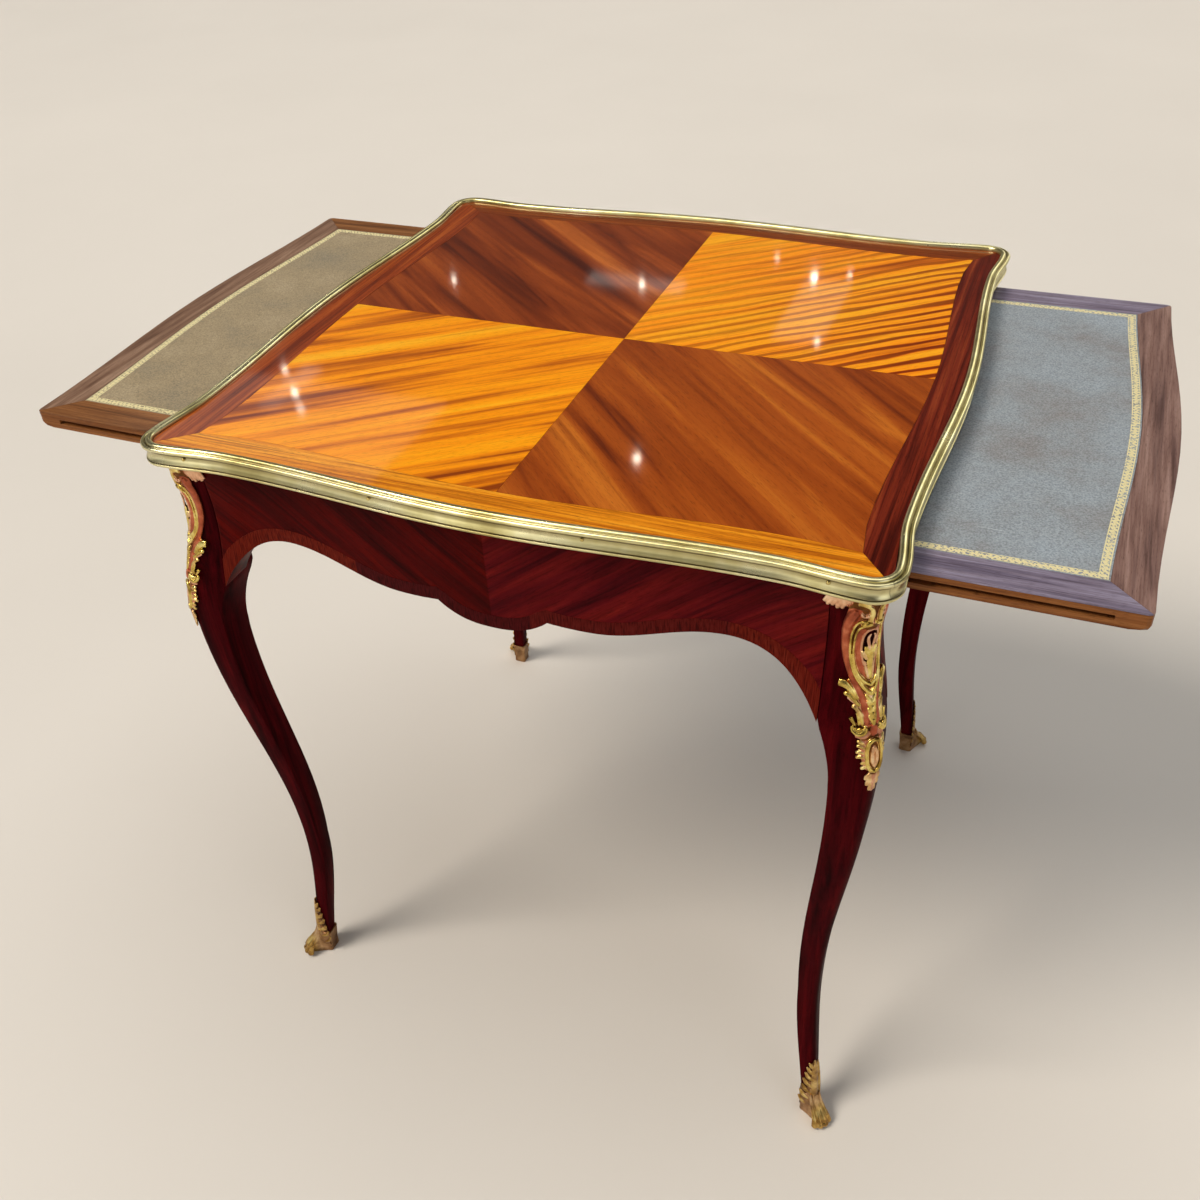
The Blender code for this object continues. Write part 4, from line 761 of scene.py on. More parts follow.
# Brass moulding: its section, as distance in from the outside and down from the lip in millimetres
moulding = {
    "section": [(10.5, 20.5), (10.5, 2.9), (10.2, 1.5), (9.4, 0.55), (8.3, 0.08), (7.2, 0.0), (6.2, 0.15),
                (5.4, 0.7), (4.95, 1.6), (4.7, 2.5), (4.2, 2.9), (3.6, 2.75), (3.2, 2.1), (2.8, 1.6),
                (2.1, 1.35), (1.3, 1.5), (0.6, 2.05), (0.15, 2.85), (0.0, 3.7), (0.2, 4.5), (0.75, 5.1),
                (1.9, 5.5), (2.9, 6.1), (3.9, 7.4), (4.5, 9.0), (4.6, 10.6), (4.35, 12.2), (3.7, 13.8),
                (2.9, 15.2), (2.2, 16.1), (2.25, 16.5), (3.3, 16.8), (3.3, 17.3), (2.3, 17.5), (1.7, 17.9),
                (1.45, 18.6), (1.6, 19.4), (2.1, 20.1), (2.8, 20.5)],
    # Dirt and painted shade in the hollows: the middle of each hollow, its reach and how dark it gets
    "hollows": [(4.2, 2.8, 1.4, 0.8), (1.3, 5.4, 2.0, 1.3), (3.7, 6.9, 2.2, 1.3), (4.5, 9.4, 3.6, 0.35),
                (2.9, 16.9, 1.6, 1.3)],
    "sawGap": 0.00015, "beyondMitre": 0.2,
    "pinsAt": ((0.090, 0.270), (0.095, 0.285)),  # from the middle of a side: left and right, front and back
    "pinDrop": 0.0098, "pinIn": 0.0034, "pinRadius": 0.0017, "pinDome": 0.62,
}


def makeMoulding():
    section = drawCurve([(-inward / 1000, -drop / 1000, 0) for inward, drop in moulding["section"]],
                        closed=True, flat=True)
    section.name = "moulding_section"
    # How dark each point of the section is painted, as dirt and as shade, by its nearness to a hollow
    dirtAndShade = [max(0.0, min(1.0, max(depth * (1.0 - math.dist(point, (inward, drop)) / reach)
                                    for inward, drop, reach, depth in moulding["hollows"])))
              for point in moulding["section"]]
    for side, way in sideWays.items():
        axis = 0 if way[0] else 1
        centre, reach = cornerArc(axis)
        run = sideRun(way, moulding["beyondMitre"])
        if way[0] - way[1] < 0:
            run.reverse()
        path = drawCurve([(x, y, tablePlan["lip"]) for x, y in run])
        path.data.twist_mode = "Z_UP"
        path.data.bevel_mode = "OBJECT"
        path.data.bevel_object = section
        path.data.use_fill_caps = True
        piece = toMesh(path, "brass_moulding_" + side)
        marks = piece.data.attributes.new("hollow", "FLOAT", "POINT")
        for vertex in piece.data.vertices:
            marks.data[vertex.index].value = dirtAndShade[vertex.index % len(dirtAndShade)]
        outward, along = Vector((*way, 0)), Vector((abs(way[1]), abs(way[0]), 0))
        editAll()
        for end in (-1, 1):
            saw = (end * along - outward).normalized()
            sawOff(centre * outward + end * reach * along - saw * moulding["sawGap"], saw)
        leaveOutwards()
        smoothShade(piece, 32)
        dress(piece, "table_frame", "brass", brassMetal, "edge_moulding_" + side)
        # Domed pins in the hollow
        pins = []
        for distance in moulding["pinsAt"][axis]:
            for spot in (-distance, distance):
                place = outward * (sideEdge(axis, spot) - moulding["pinIn"]) + along * spot
                place.z = tablePlan["lip"] - moulding["pinDrop"]
                bpy.ops.mesh.primitive_uv_sphere_add(segments=20, ring_count=10, radius=moulding["pinRadius"],
                                                     location=place)
                pin = bpy.context.object
                pin.scale[axis] = moulding["pinDome"]
                pins.append(applyPlace(pin, "pin"))
        heads = joinPieces(pins, "moulding_pins_" + side)
        smoothShade(heads, 60)
        dress(heads, "table_frame", "brass", pinMetal)
    pick(section)
    bpy.ops.object.delete()


makeMoulding()
print("moulding ready")


# Leather: gold tooling pressed in along its edge
slidePlan = {
    "middleOut": 0.518, "bow": 0.013, "halfDepth": 0.268, "band": 0.0315, "leatherFit": 0.0003,
    "leatherIn": 0.2298, "leatherHalf": 0.2362, "leatherTop": 0.7253, "toolingIn": 0.0012,
    "toolingWidth": 0.0078, "proud": 0.00005,
}


def toolingLine(way, inward):
    # Round the leather at one distance from its edge, along the bowed end first
    half = slidePlan["leatherHalf"] - inward
    low = slidePlan["leatherIn"] + inward
    middle = slidePlan["middleOut"] - slidePlan["band"] - slidePlan["leatherFit"] - inward
    places = [(middle - slidePlan["bow"] * ease(abs(y) / slidePlan["halfDepth"]), y)
              for y in spread(-half, half, 60)]
    end = places[-1][0]
    places += [(x, half) for x in spread(end, low, 24)[1:]]
    places += [(low, y) for y in spread(half, -half, 60)[1:]]
    places += [(x, -half) for x in spread(low, end, 24)[1:-1]]
    return [(way * x, y, slidePlan["leatherTop"] + slidePlan["proud"]) for x, y in places]


def makeTooling(side, way, material):
    outer = toolingLine(way, slidePlan["toolingIn"])
    inner = toolingLine(way, slidePlan["toolingIn"] + slidePlan["toolingWidth"])
    if way > 0:
        outer, inner = inner, outer
    border = stripBetween("tooled_border_" + side, outer, inner, True)
    dress(border, "slide_" + side, "leather_olive" if side == "left" else "leather_slate", material)


for side, way in (("left", -1), ("right", 1)):
    makeTooling(side, way, tooledLeather("gold tooling " + side, leatherLooksAsLit[side], tooled=True))
print("tooling ready")


# Gilt bronze castings, drawn flat in millimetres: distance from the arris, drop, and radius at each point.
# Each stroke has its finish, how far out its middle stands and how flattened it is.
chute = {
    "top": 0.7269, "fit": 0.0005, "neck": 0.0345, "frontReach": 0.040, "sideReach": 0.0352,
    "sink": 0.008, "sinkRamp": 0.003, "sinkKept": 0.040, "sinkFade": 0.125,
    "voxel": 0.42, "keep": 0.42, "beadOut": 2.2, "backAt": 0.15, "headAt": 0.2,
    "plate": [(-0.6, 0.6), (34, 0.6), (37.5, 2.0), (36.5, 5), (24, 6.5), (19.5, 8.5), (20.4, 14), (21, 24),
              (20.8, 36), (20, 48), (18, 60), (15, 72), (14.5, 78), (22, 79), (22, 84), (15, 90), (17, 93),
              (12, 99), (9.5, 108), (9, 115), (13, 120), (13, 126), (6, 129.5), (10.5, 135), (11, 141),
              (12, 150), (8, 155.5), (8, 162), (3.5, 166), (4.8, 172), (3.4, 180), (-0.6, 187), (-0.6, 74),
              (2, 70), (4.4, 60), (5.6, 48), (5.4, 38), (3.6, 31), (-0.6, 28)],
    "plateHalf": 0.6,
    "strokes": [
        # The strap, and the hollow beside the piercing
        (1.0, 0.7, 0.80, [(13.5, 9.5, 2.6), (14.6, 13, 4.6), (16.6, 19, 4.6), (18.0, 27, 3.9),
                          (18.2, 36, 3.5), (17.8, 46, 3.3), (17.0, 55, 3.0), (15.4, 64, 2.7),
                          (13.4, 73, 2.4), (10.6, 82, 2.3), (7.6, 90, 2.2), (5.4, 98, 2.2), (4.4, 106, 2.2),
                          (4.2, 114, 2.1), (5.0, 121, 1.6)]),
        (1.0, 0.5, 0.42, [(5.8, 29, 2.0), (7.4, 36, 2.6), (7.8, 46, 2.7), (7.0, 56, 2.7), (5.2, 66, 2.2),
                          (2.6, 73, 1.5)]),
        # Two gold ribs round the piercing, meeting below it
        (0.0, 2.3, 1.0, [(4.6, 18.6, 1.3), (8.8, 19.4, 1.3), (11.6, 23.4, 1.1), (13.3, 31, 1.0),
                         (13.8, 42, 1.0), (13.4, 53, 1.1), (12.3, 62, 1.2), (10.0, 71, 1.3), (6.6, 78, 1.4),
                         (3.4, 84.5, 1.4), (-1, 90, 1.4)]),
        (0.0, 2.3, 1.0, [(5.6, 23.4, 1.2), (8.4, 26.2, 1.1), (10.2, 32, 0.9), (10.9, 42, 0.9),
                         (10.9, 52, 1.0), (10.0, 62, 1.1), (7.6, 70.5, 1.2), (4.2, 76.6, 1.4),
                         (-1, 81, 1.5)]),
        (0.7, 1.5, 1.0, [(-1, 27.2, 0.9), (2.8, 28.6, 0.9), (4.9, 33, 0.9), (5.6, 40, 0.8), (5.6, 47, 0.8),
                         (5.0, 54, 0.7), (3.8, 62, 0.7)]),
        # Flames in the piercing
        (0.05, 1.9, 0.8, [(0, 43, 1.3), (0, 50, 2.5), (-0.2, 58, 2.0), (-0.2, 66, 1.5), (-0.3, 75, 1.1)]),
        (0.5, 2.4, 0.9, [(0.6, 46, 0.9), (1.9, 39, 1.1), (2.2, 34.6, 0.9), (1.0, 31.2, 0.6)]),
        (0.1, 2.7, 0.9, [(1.8, 50, 1.1), (3.0, 46, 1.2), (3.4, 43.4, 0.8)]),
        (0.3, 2.5, 0.9, [(2.4, 56, 1.0), (4.0, 51.4, 1.1), (5.0, 48.4, 0.9)]),
        (0.4, 1.9, 0.9, [(3.4, 58, 0.6), (2.6, 66, 0.8), (1.2, 75, 0.8)]),
        # Scroll and lip at the head
        (0.15, 2.4, 1.0, [(13, 3.0, 0.9), (8, 2.4, 1.2), (4.4, 4.4, 1.4), (2.9, 8.5, 1.5), (2.8, 13, 1.5),
                          (3.2, 18, 1.4)]),
        (0.5, 2.2, 1.0, [(9.8, 11.2, 0.9), (7.6, 13.6, 1.2), (5.4, 13.4, 1.2), (4.8, 11.4, 0.9)]),
        (0.0, 2.5, 0.9, [(1.6, 20.6, 1.7), (4.2, 21.2, 2.3), (6.8, 23.0, 1.6)]),
        # A dark patch at the head, under the moulding: painted shade
        (1.5, 0.7, 0.5, [(6, 6, 3.0), (12, 5.6, 3.0), (17, 5.6, 2.0)]),
        # Ruffled leaf under the moulding
        (0.5, 0.9, 0.7, [(19, 3, 1.8), (28, 2.8, 2.2), (36, 3.2, 2.0)]),
        (0.5, 1.4, 0.75, [(21.6, 3.4, 1.8), (24.2, 7.0, 2.0), (24.4, 9.8, 1.5)]),
        (0.5, 1.5, 0.75, [(25, 3.4, 1.8), (27.6, 7.4, 2.1), (28.2, 10.2, 1.6)]),
        (0.5, 1.4, 0.75, [(28.6, 3.4, 1.8), (31.4, 6.0, 2.0), (32.4, 8.2, 1.5)]),
        (0.5, 1.5, 0.75, [(31.8, 3.2, 1.8), (34.8, 5.8, 2.1), (35.8, 8.2, 1.6)]),
        (0.5, 1.3, 0.75, [(34, 2.8, 1.6), (37.4, 3.8, 1.9), (38.6, 5.8, 1.5)]),
        # Acanthus: three lobes, a bud and the bright scroll they spring from
        (0.0, 2.2, 0.8, [(9.4, 94, 1.8), (13.2, 86.4, 3.0), (18, 81.8, 3.9), (22.8, 81.2, 3.6)]),
        (0.0, 3.4, 0.8, [(12.6, 83.6, 1.0), (17.6, 79.0, 1.3), (22, 78.6, 1.0)]),
        (0.1, 2.0, 0.8, [(8.4, 100, 1.5), (12.6, 94.4, 2.1), (17, 91.2, 2.4), (19.4, 91.8, 1.6)]),
        (0.5, 1.4, 0.8, [(8.6, 101.6, 1.1), (13.2, 97.6, 1.5), (17, 95.0, 1.1)]),
        (0.2, 2.0, 0.8, [(7.4, 110, 1.5), (9.6, 104.8, 2.0), (12.4, 102.2, 1.9), (13.8, 103.2, 1.2)]),
        (0.1, 2.2, 1.0, [(7.4, 119, 0.8), (7.2, 112, 1.0), (8.4, 105, 0.9)]),
        (0.1, 2.2, 1.0, [(9.8, 119, 0.8), (9.6, 113, 1.0), (10.6, 107.6, 0.8)]),
        (0.0, 2.4, 0.9, [(12.4, 119.6, 1.2), (14.2, 116, 1.7), (15.6, 112.4, 2.1)]),
        (0.0, 2.5, 1.0, [(5.4, 120.0, 1.3), (6.4, 124.4, 2.1), (10.4, 126.6, 2.7), (14.2, 124.4, 2.2),
                         (15.0, 120.0, 1.3)]),
        (0.0, 3.4, 0.9, [(8.0, 121.2, 1.3), (10.6, 122.4, 1.6), (12.2, 120.8, 1.0)]),
        (0.75, 1.3, 0.8, [(1.5, 124.6, 1.6), (7, 130.4, 1.7), (13.4, 131, 1.2)]),
        # Petals and beads down the arris
        (0.6, 0.8, 0.5, [(-0.6, 88, 2.2), (-0.6, 101, 2.8), (-0.6, 116, 2.6)]),
        (0.05, 2.5, 1.0, [(-0.4, 99, 1.5), (1.8, 94.4, 1.3), (3.6, 89.0, 0.9)]),
        (0.05, 2.5, 1.0, [(-0.4, 105.6, 1.5), (1.4, 101, 1.2), (2.8, 95.6, 0.8)]),
        (0.05, 2.5, 1.0, [(-0.4, 112, 1.4), (1.2, 107.6, 1.2), (2.4, 102.4, 0.8)]),
        (0.05, 2.5, 1.0, [(-0.4, 118, 1.3), (1.2, 114, 1.1), (2.2, 109, 0.8)]),
        (0.9, 1.9, 0.8, [(-0.6, 119, 2.2), (-0.6, 123.4, 2.8), (-0.6, 128, 2.2)]),
        # Shell round a ring, and the leaf at the tip
        (0.0, 2.7, 1.0, [(-1, 132.4, 1.5), (2.6, 134.0, 1.6), (4.8, 140, 1.4), (5.4, 149, 1.3),
                         (4.6, 158, 1.4), (2.2, 163.6, 1.4), (-1, 165, 1.4)]),
        (0.4, 2.0, 0.9, [(0.0, 161, 0.9), (1.7, 154, 1.4), (1.6, 146, 1.3), (0.4, 140.5, 0.8)]),
        (0.8, 1.0, 0.6, [(6.8, 135, 1.4), (8.0, 148, 1.8), (6.0, 162, 1.4)]),
        (0.18, 1.6, 0.8, [(7.4, 137.4, 1.2), (10.2, 135.4, 1.7), (12, 135.8, 1.3)]),
        (0.18, 1.6, 0.8, [(7.6, 141, 1.2), (10.6, 139.8, 1.7), (12.6, 140.2, 1.3)]),
        (0.18, 1.6, 0.8, [(8, 146, 1.3), (11.2, 145.8, 1.8), (13.2, 147.2, 1.4)]),
        (0.18, 1.6, 0.8, [(8, 150.4, 1.3), (11.2, 150.8, 1.8), (13.4, 152, 1.4)]),
        (0.18, 1.6, 0.8, [(6.8, 155.6, 1.2), (8.6, 157, 1.4), (9.4, 158, 1.0)]),
        (0.18, 1.6, 0.8, [(6, 160, 1.3), (8.2, 161.8, 1.6), (9.2, 163, 1.1)]),
        (0.7, 1.3, 0.8, [(-0.4, 168, 2.2), (-0.3, 177, 1.8), (-0.2, 188.4, 0.9)]),
        (0.3, 1.6, 0.75, [(2, 167.6, 1.4), (4.2, 170.4, 1.9), (5.0, 174.4, 1.6)]),
        (0.3, 1.6, 0.75, [(1.6, 173, 1.3), (3.6, 177.4, 1.7), (4.0, 181, 1.2)]),
        (0.3, 1.5, 0.75, [(0.9, 179.6, 1.2), (2.0, 184.4, 1.2), (2.1, 187.2, 0.8)]),
    ],
    "beads": [(3.4, 85.6, 0.8), (3.0, 88.4, 0.8), (2.5, 91.2, 0.8), (2.1, 94.0, 0.8), (6.2, 116.6, 0.9),
              (2.6, 120.6, 0.9), (0.9, 121.4, 0.9)],
}


def sunk(drop):
    # The head of the mount hangs lower, clear of the overhanging moulding
    kept = 1 - ease((drop - chute["sinkKept"]) / chute["sinkFade"])
    return drop + chute["sink"] * ease(drop / chute["sinkRamp"]) * kept


def wrapOnCorner(places):
    # Flat millimetres to the leg's corner: across the arris, out from the wood, and down from the top board
    wrapped = []
    for x, y, z in places / 1000:
        height = chute["top"] - sunk(-z)
        out = chute["fit"] - y
        radius = legShape["round"] * legWidth(height)
        middleX, middleY = (corner - cornerInset(height) - radius for corner in tablePlan["postCorner"])
        angle = math.pi / 4 + max(-math.pi / 4, min(math.pi / 4, x / radius))
        spotX = middleX + (radius + out) * math.cos(angle)
        spotY = middleY + (radius + out) * math.sin(angle)
        bend = radius * math.pi / 4
        if x > bend:
            spotX -= x - bend
        elif x < -bend:
            # Beside the slide the leaf under the moulding is drawn in
            spare = max(0.0, -x - chute["neck"])
            share = (chute["sideReach"] - chute["neck"]) / (chute["frontReach"] - chute["neck"])
            spotY -= min(-x, chute["neck"]) + spare * share - bend
        wrapped.append((spotX, spotY, height))
    return np.array(wrapped)


# How mount and shoe alike are cast; the reach of a stroke's finish is in its radii
foundry = {"strokeReach": 1.35, "shadedGroundFinish": 1.5, "rodResolution": 3, "smoothing": 0.5, "smoothings": 2}


def castRod(points, name, steps):
    # A rod through the points, each with its radius
    path = drawCurve(points, smooth=True)
    path.data.bevel_depth = 1.0
    path.data.bevel_resolution = foundry["rodResolution"]
    path.data.resolution_u = steps
    path.data.use_fill_caps = True
    return toMesh(path, name)


def castStroke(out, flat, points):
    piece = castRod([(across, -out, -drop, radius) for across, drop, radius in points], "stroke", 8)
    editAll()
    bpy.ops.transform.resize(value=(1, flat, 1), center_override=(0, -out, 0))
    bpy.ops.object.mode_set(mode="OBJECT")
    return piece


def castPlate(outline, half):
    plate = drawCurve([(across, -drop, 0) for across, drop in outline], closed=True, flat=True)
    plate.data.fill_mode = "BOTH"
    plate.data.extrude = half
    plate = toMesh(plate, "plate")
    plate.rotation_euler = (math.pi / 2, 0, 0)
    plate.location = (0, -half, 0)
    return applyPlace(plate, "plate")


def markFinish(piece, strokes):
    # Finish of the stroke that each point of the casting lies closest to, by its share of that stroke's
    # radius; further out it is the ground's, whose dark brown is painted shade
    places = readPlaces(piece.data)
    places[:, 0] = abs(places[:, 0])
    nearest = np.full(len(places), foundry["strokeReach"])
    worked = np.full(len(places), foundry["shadedGroundFinish"])
    for value, out, flat, points in strokes:
        knots = np.array([(across, -out, -drop, radius) for across, drop, radius in points])
        for first, second in zip(knots, knots[1:]):
            step = second[:3] - first[:3]
            share = np.clip((places - first[:3]) @ step / (step @ step), 0, 1)
            gap = places - first[:3] - share[:, None] * step
            gap[:, 1] /= flat
            radius = first[3] + share * (second[3] - first[3])
            ratio = np.linalg.norm(gap, axis=1) / radius
            closer = ratio < nearest
            nearest[closer] = ratio[closer]
            worked[closer] = value
    writeFinish(piece, worked)


def writeFinish(piece, values):
    layer = piece.data.attributes.new("finish", "FLOAT", "POINT")
    layer.data.foreach_set("value", values)


def castAsOne(parts, name, voxel, mirrored=True):
    # One body, with both halves, its sharp meetings filled as metal fills them
    casting = joinPieces(parts, name)
    if mirrored:
        addModifier(casting, "MIRROR", use_mirror_merge=False)
    addModifier(casting, "REMESH", mode="VOXEL", voxel_size=voxel, adaptivity=0.0)
    addModifier(casting, "SMOOTH", factor=foundry["smoothing"], iterations=foundry["smoothings"])
    return casting


def makeChutes():
    parts = [castPlate(chute["plate"], chute["plateHalf"])]
    parts += [castStroke(out, flat, points) for value, out, flat, points in chute["strokes"]]
    for across, drop, radius in chute["beads"]:
        bpy.ops.mesh.primitive_uv_sphere_add(segments=12, ring_count=8, radius=radius,
                                             location=(across, -chute["beadOut"], -drop))
        parts.append(applyPlace(bpy.context.object, "bead"))
    casting = castAsOne(parts, "chute_pattern", chute["voxel"])
    # Flat back, and a level top under the board
    bpy.ops.object.mode_set(mode="EDIT")
    sawOff((0, -chute["backAt"], 0), (0, 1, 0))
    sawOff((0, 0, -chute["headAt"]), (0, 0, 1))
    bpy.ops.object.mode_set(mode="OBJECT")
    addModifier(casting, "DECIMATE", ratio=chute["keep"])
    markFinish(casting, chute["strokes"])
    writePlaces(casting.data, wrapOnCorner(readPlaces(casting.data)))
    casting.data.flip_normals()
    smoothShade(casting, 60)
    toCorners(casting, "gilt_chute_", "ormolu", mountMetal, "corner_mount_")


makeChutes()
print("chutes ready")


# Shoes: a leaf up the arris, flutes down the instep and a curled toe
shoe = {
    "wall": 0.0022, "voxel": 0.45, "keep": 0.5, "around": 40, "cutCorner": 0.90, "thickFrom": 0.010,
    "soleAt": 0.3,  # in millimetres, as the casting
    # The toe's reach and height, its share of that reach at the sole, what it gains half way up and loses by
    # its top, and the share that the instep above it starts from
    "toeReach": 0.020, "toeHeight": 0.020, "toeSole": 0.80, "toeSwell": 0.14, "toeTaper": 0.42,
    "toeCurl": 2.4, "instep": 0.55, "instepHeight": 0.020,
    "rings": (0.0004, 0.003, 0.006, 0.009, 0.012, 0.015, 0.018, 0.020, 0.023, 0.026, 0.030, 0.034),
    "plate": [(-0.6, 92), (3.6, 85), (6, 76), (8, 68), (10, 58), (12, 48), (13.6, 38), (15, 28), (15, 12),
              (-0.6, 12)],
    "plateHalf": 0.6,
    # The leaf's strokes, as the mount's, but with heights instead of drops
    "strokes": [
        (0.2, 1.4, 0.8, [(-0.4, 92.4, 0.9), (-0.4, 84, 1.7), (-0.4, 70, 2.2), (-0.4, 52, 2.4),
                         (-0.4, 34, 2.6), (-0.4, 20, 2.8)]),
        (0.1, 1.5, 0.85, [(0, 79, 1.3), (3, 83.4, 1.6), (4.4, 88.4, 0.9)]),
        (0.1, 1.5, 0.85, [(0, 70, 1.5), (4.8, 74.6, 1.8), (7.2, 80.4, 1.0)]),
        (0.1, 1.5, 0.85, [(0.6, 60, 1.6), (6.6, 64.4, 1.9), (9.2, 70.8, 1.0)]),
        (0.1, 1.5, 0.85, [(1, 49, 1.8), (8.4, 53.8, 2.1), (11.4, 60.6, 1.1)]),
        (0.1, 1.5, 0.85, [(1.6, 38, 1.9), (9.8, 42.4, 2.2), (13.4, 49.6, 1.1)]),
        (0.1, 1.5, 0.85, [(2, 27, 1.9), (11, 31, 2.2), (15.2, 38.8, 1.1)]),
        (0.1, 1.5, 0.85, [(4, 16, 1.9), (12, 20, 2.2), (16.4, 28, 1.1)]),
        (0.8, 1.2, 0.7, [(4.4, 56, 1.2), (5.4, 38, 1.7), (6.4, 18, 2.0)]),
        (0.3, 2.0, 1.0, [(2.6, 44, 0.7), (3.2, 32, 1.1), (3.6, 18, 1.4)]),
    ],
    # Distance in from the arris, across and radius of each knuckle, then share of the way out, height in
    # metres and thickness in millimetres along the flute that climbs the instep from it
    "knuckles": [(-0.0165, -0.0080, 0.0040), (-0.0190, -0.0028, 0.0043), (-0.0190, 0.0028, 0.0043),
                 (-0.0165, 0.0080, 0.0040)],
    "flute": [(1.0, 0.0062, 4.0), (0.86, 0.0125, 2.9), (0.55, 0.0190, 2.1), (0.22, 0.0270, 1.7),
              (0.02, 0.0380, 1.2)],
    "gather": 0.35, "knuckleUp": 1.5,  # how flutes draw together, and knuckles' height in their radii
    "brightOver": 16, "dullFinish": 0.75,
}


def onDiagonal(inward, across, height):
    # A place by its distance in from the leg's arris and across, along the foot's diagonal
    step = cornerInset(height)
    return (tablePlan["postCorner"][0] - step - math.sqrt(0.5) * (inward + across),
            tablePlan["postCorner"][1] - step - math.sqrt(0.5) * (inward - across), height)


def shoeRing(height):
    # A square with cut corners round the foot, drawn out into a toe that is fullest a little above the sole
    if height <= shoe["toeHeight"]:
        share = height / shoe["toeHeight"]
        toe = shoe["toeReach"] * (shoe["toeSole"] + shoe["toeSwell"] * math.sin(math.pi * share))
        toe *= 1 - shoe["toeTaper"] * share ** shoe["toeCurl"]
    else:
        above = (height - shoe["toeHeight"]) / shoe["instepHeight"]
        toe = shoe["instep"] * shoe["toeReach"] * max(0.0, 1 - above) ** 2
    half = (legWidth(max(height, shoe["thickFrom"])) + 2 * shoe["wall"]) / math.sqrt(2)
    centre = half - shoe["wall"] * math.sqrt(2)
    ring = []
    for number in range(shoe["around"]):
        angle = math.tau * (number + 0.5) / shoe["around"]
        radius = min(half / (abs(math.cos(angle)) + abs(math.sin(angle))), half * shoe["cutCorner"])
        stretch = toe * max(0.0, math.cos(angle)) ** 2
        ring.append(onDiagonal(centre - radius * math.cos(angle) - stretch, radius * math.sin(angle), height))
    return ring


def makeShoes():
    # The leaf, flat and then wrapped
    drop = chute["top"] * 1000
    parts = [castPlate([(across, drop - height) for across, height in shoe["plate"]], shoe["plateHalf"])]
    strokes = [(value, out, flat, [(across, drop - height, radius) for across, height, radius in points])
               for value, out, flat, points in shoe["strokes"]]
    parts += [castStroke(out, flat, points) for value, out, flat, points in strokes]
    leaf = castAsOne(parts, "shoe_leaf", shoe["voxel"])
    markFinish(leaf, strokes)
    writePlaces(leaf.data, wrapOnCorner(readPlaces(leaf.data)) * 1000)
    # The slipper, ring by ring from the sole
    count = shoe["around"]
    places = [[value * 1000 for value in place] for height in shoe["rings"] for place in shoeRing(height)]
    faces = []
    for low in range(0, len(places) - count, count):
        for number in range(count):
            after = (number + 1) % count
            faces.append((low + number, low + after, low + count + after, low + count + number))
    faces += [tuple(range(count)), tuple(range(len(places) - count, len(places)))]
    slipper = addPiece("slipper", places, faces)
    pick(slipper)
    editAll()
    leaveOutwards()
    parts = [slipper]
    for inward, across, radius in shoe["knuckles"]:
        climb = []
        for share, height, thick in shoe["flute"]:
            spot = onDiagonal(inward * share, across * (1 - shoe["gather"] * (1 - share)), height)
            climb.append((*(value * 1000 for value in spot), thick))
        parts.append(castRod(climb, "flute", 12))
        spot = onDiagonal(inward, across, radius * shoe["knuckleUp"])
        bpy.ops.mesh.primitive_uv_sphere_add(segments=16, ring_count=10, radius=radius * 1000,
                                             location=[value * 1000 for value in spot])
        parts.append(applyPlace(bpy.context.object, "knuckle"))
    body = castAsOne(parts, "shoe_pattern", shoe["voxel"], mirrored=False)
    bpy.ops.object.mode_set(mode="EDIT")
    sawOff((0, 0, shoe["soleAt"]), (0, 0, -1))
    bpy.ops.object.mode_set(mode="OBJECT")
    # Brighter the further out a place lies from the leg's arris
    low = readPlaces(body.data)
    reach = np.array([sum(onDiagonal(0, 0, height / 1000)[:2]) for height in low[:, 2]]) * 1000
    bright = np.clip((low[:, 0] + low[:, 1] - reach) / shoe["brightOver"], 0, 1)
    writeFinish(body, shoe["dullFinish"] * (1 - bright))
    leaf.data.flip_normals()
    casting = joinPieces([body, leaf], "shoe_pattern")
    casting.scale = (0.001, 0.001, 0.001)
    applyPlace(casting, "shoe_pattern")
    addModifier(casting, "DECIMATE", ratio=shoe["keep"])
    smoothShade(casting, 60)
    toCorners(casting, "gilt_shoe_", "ormolu", shoeMetal, "shoe_")


makeShoes()
print("shoes ready")


# Floor, light and camera
studio = {
    "floorSize": 14.0, "floorMiddle": (0, 2.5, 0), "floorColours": [(0.3, "#D9D4CC"), (0.7, "#DCD7CF")],
    "backdrop": "#F0ECE6",
    # From the horizon up: pale there and dimmer overhead, so that polish and metal stay deep
    "sky": [(0.0, "#F4F0EA"), (0.12, "#C8C4BC"), (0.28, "#4A4844"), (0.65, "#2E2D2B"), (1.0, "#B4B0AA")],
    "skyStrength": 0.85,
    # Name, place, aim, strength, colour and width in degrees
    "suns": [("key", (-1.2, -1.2, 2.6), (0, 0, 0.5), 2.3, "#FFF6EA", 24),
             ("fill", (2.1, -1.5, 1.5), (0, 0, 0.45), 0.45, "#F4F6FF", 40),
             ("overhead", (0.2, 0.4, 2.9), (0, 0, 0.7), 0.85, "#FFFFFF", 50)],
    # Place, aim, strength, colour, width and height of a tall window whose image runs along the middle of the
    # front moulding, and of one behind whose image runs along the side mouldings and misses the polish
    "windows": {"window": ((-1.05, -2.6, 1.25), (0, -0.33, 0.73), 7.5, "#FFFDFA", 0.9, 1.9),
                "side window": ((1.0, 2.48, 2.11), (0, 0, 0.75), 16.0, "#FFFEF4", 1.6, 1.3)},
}


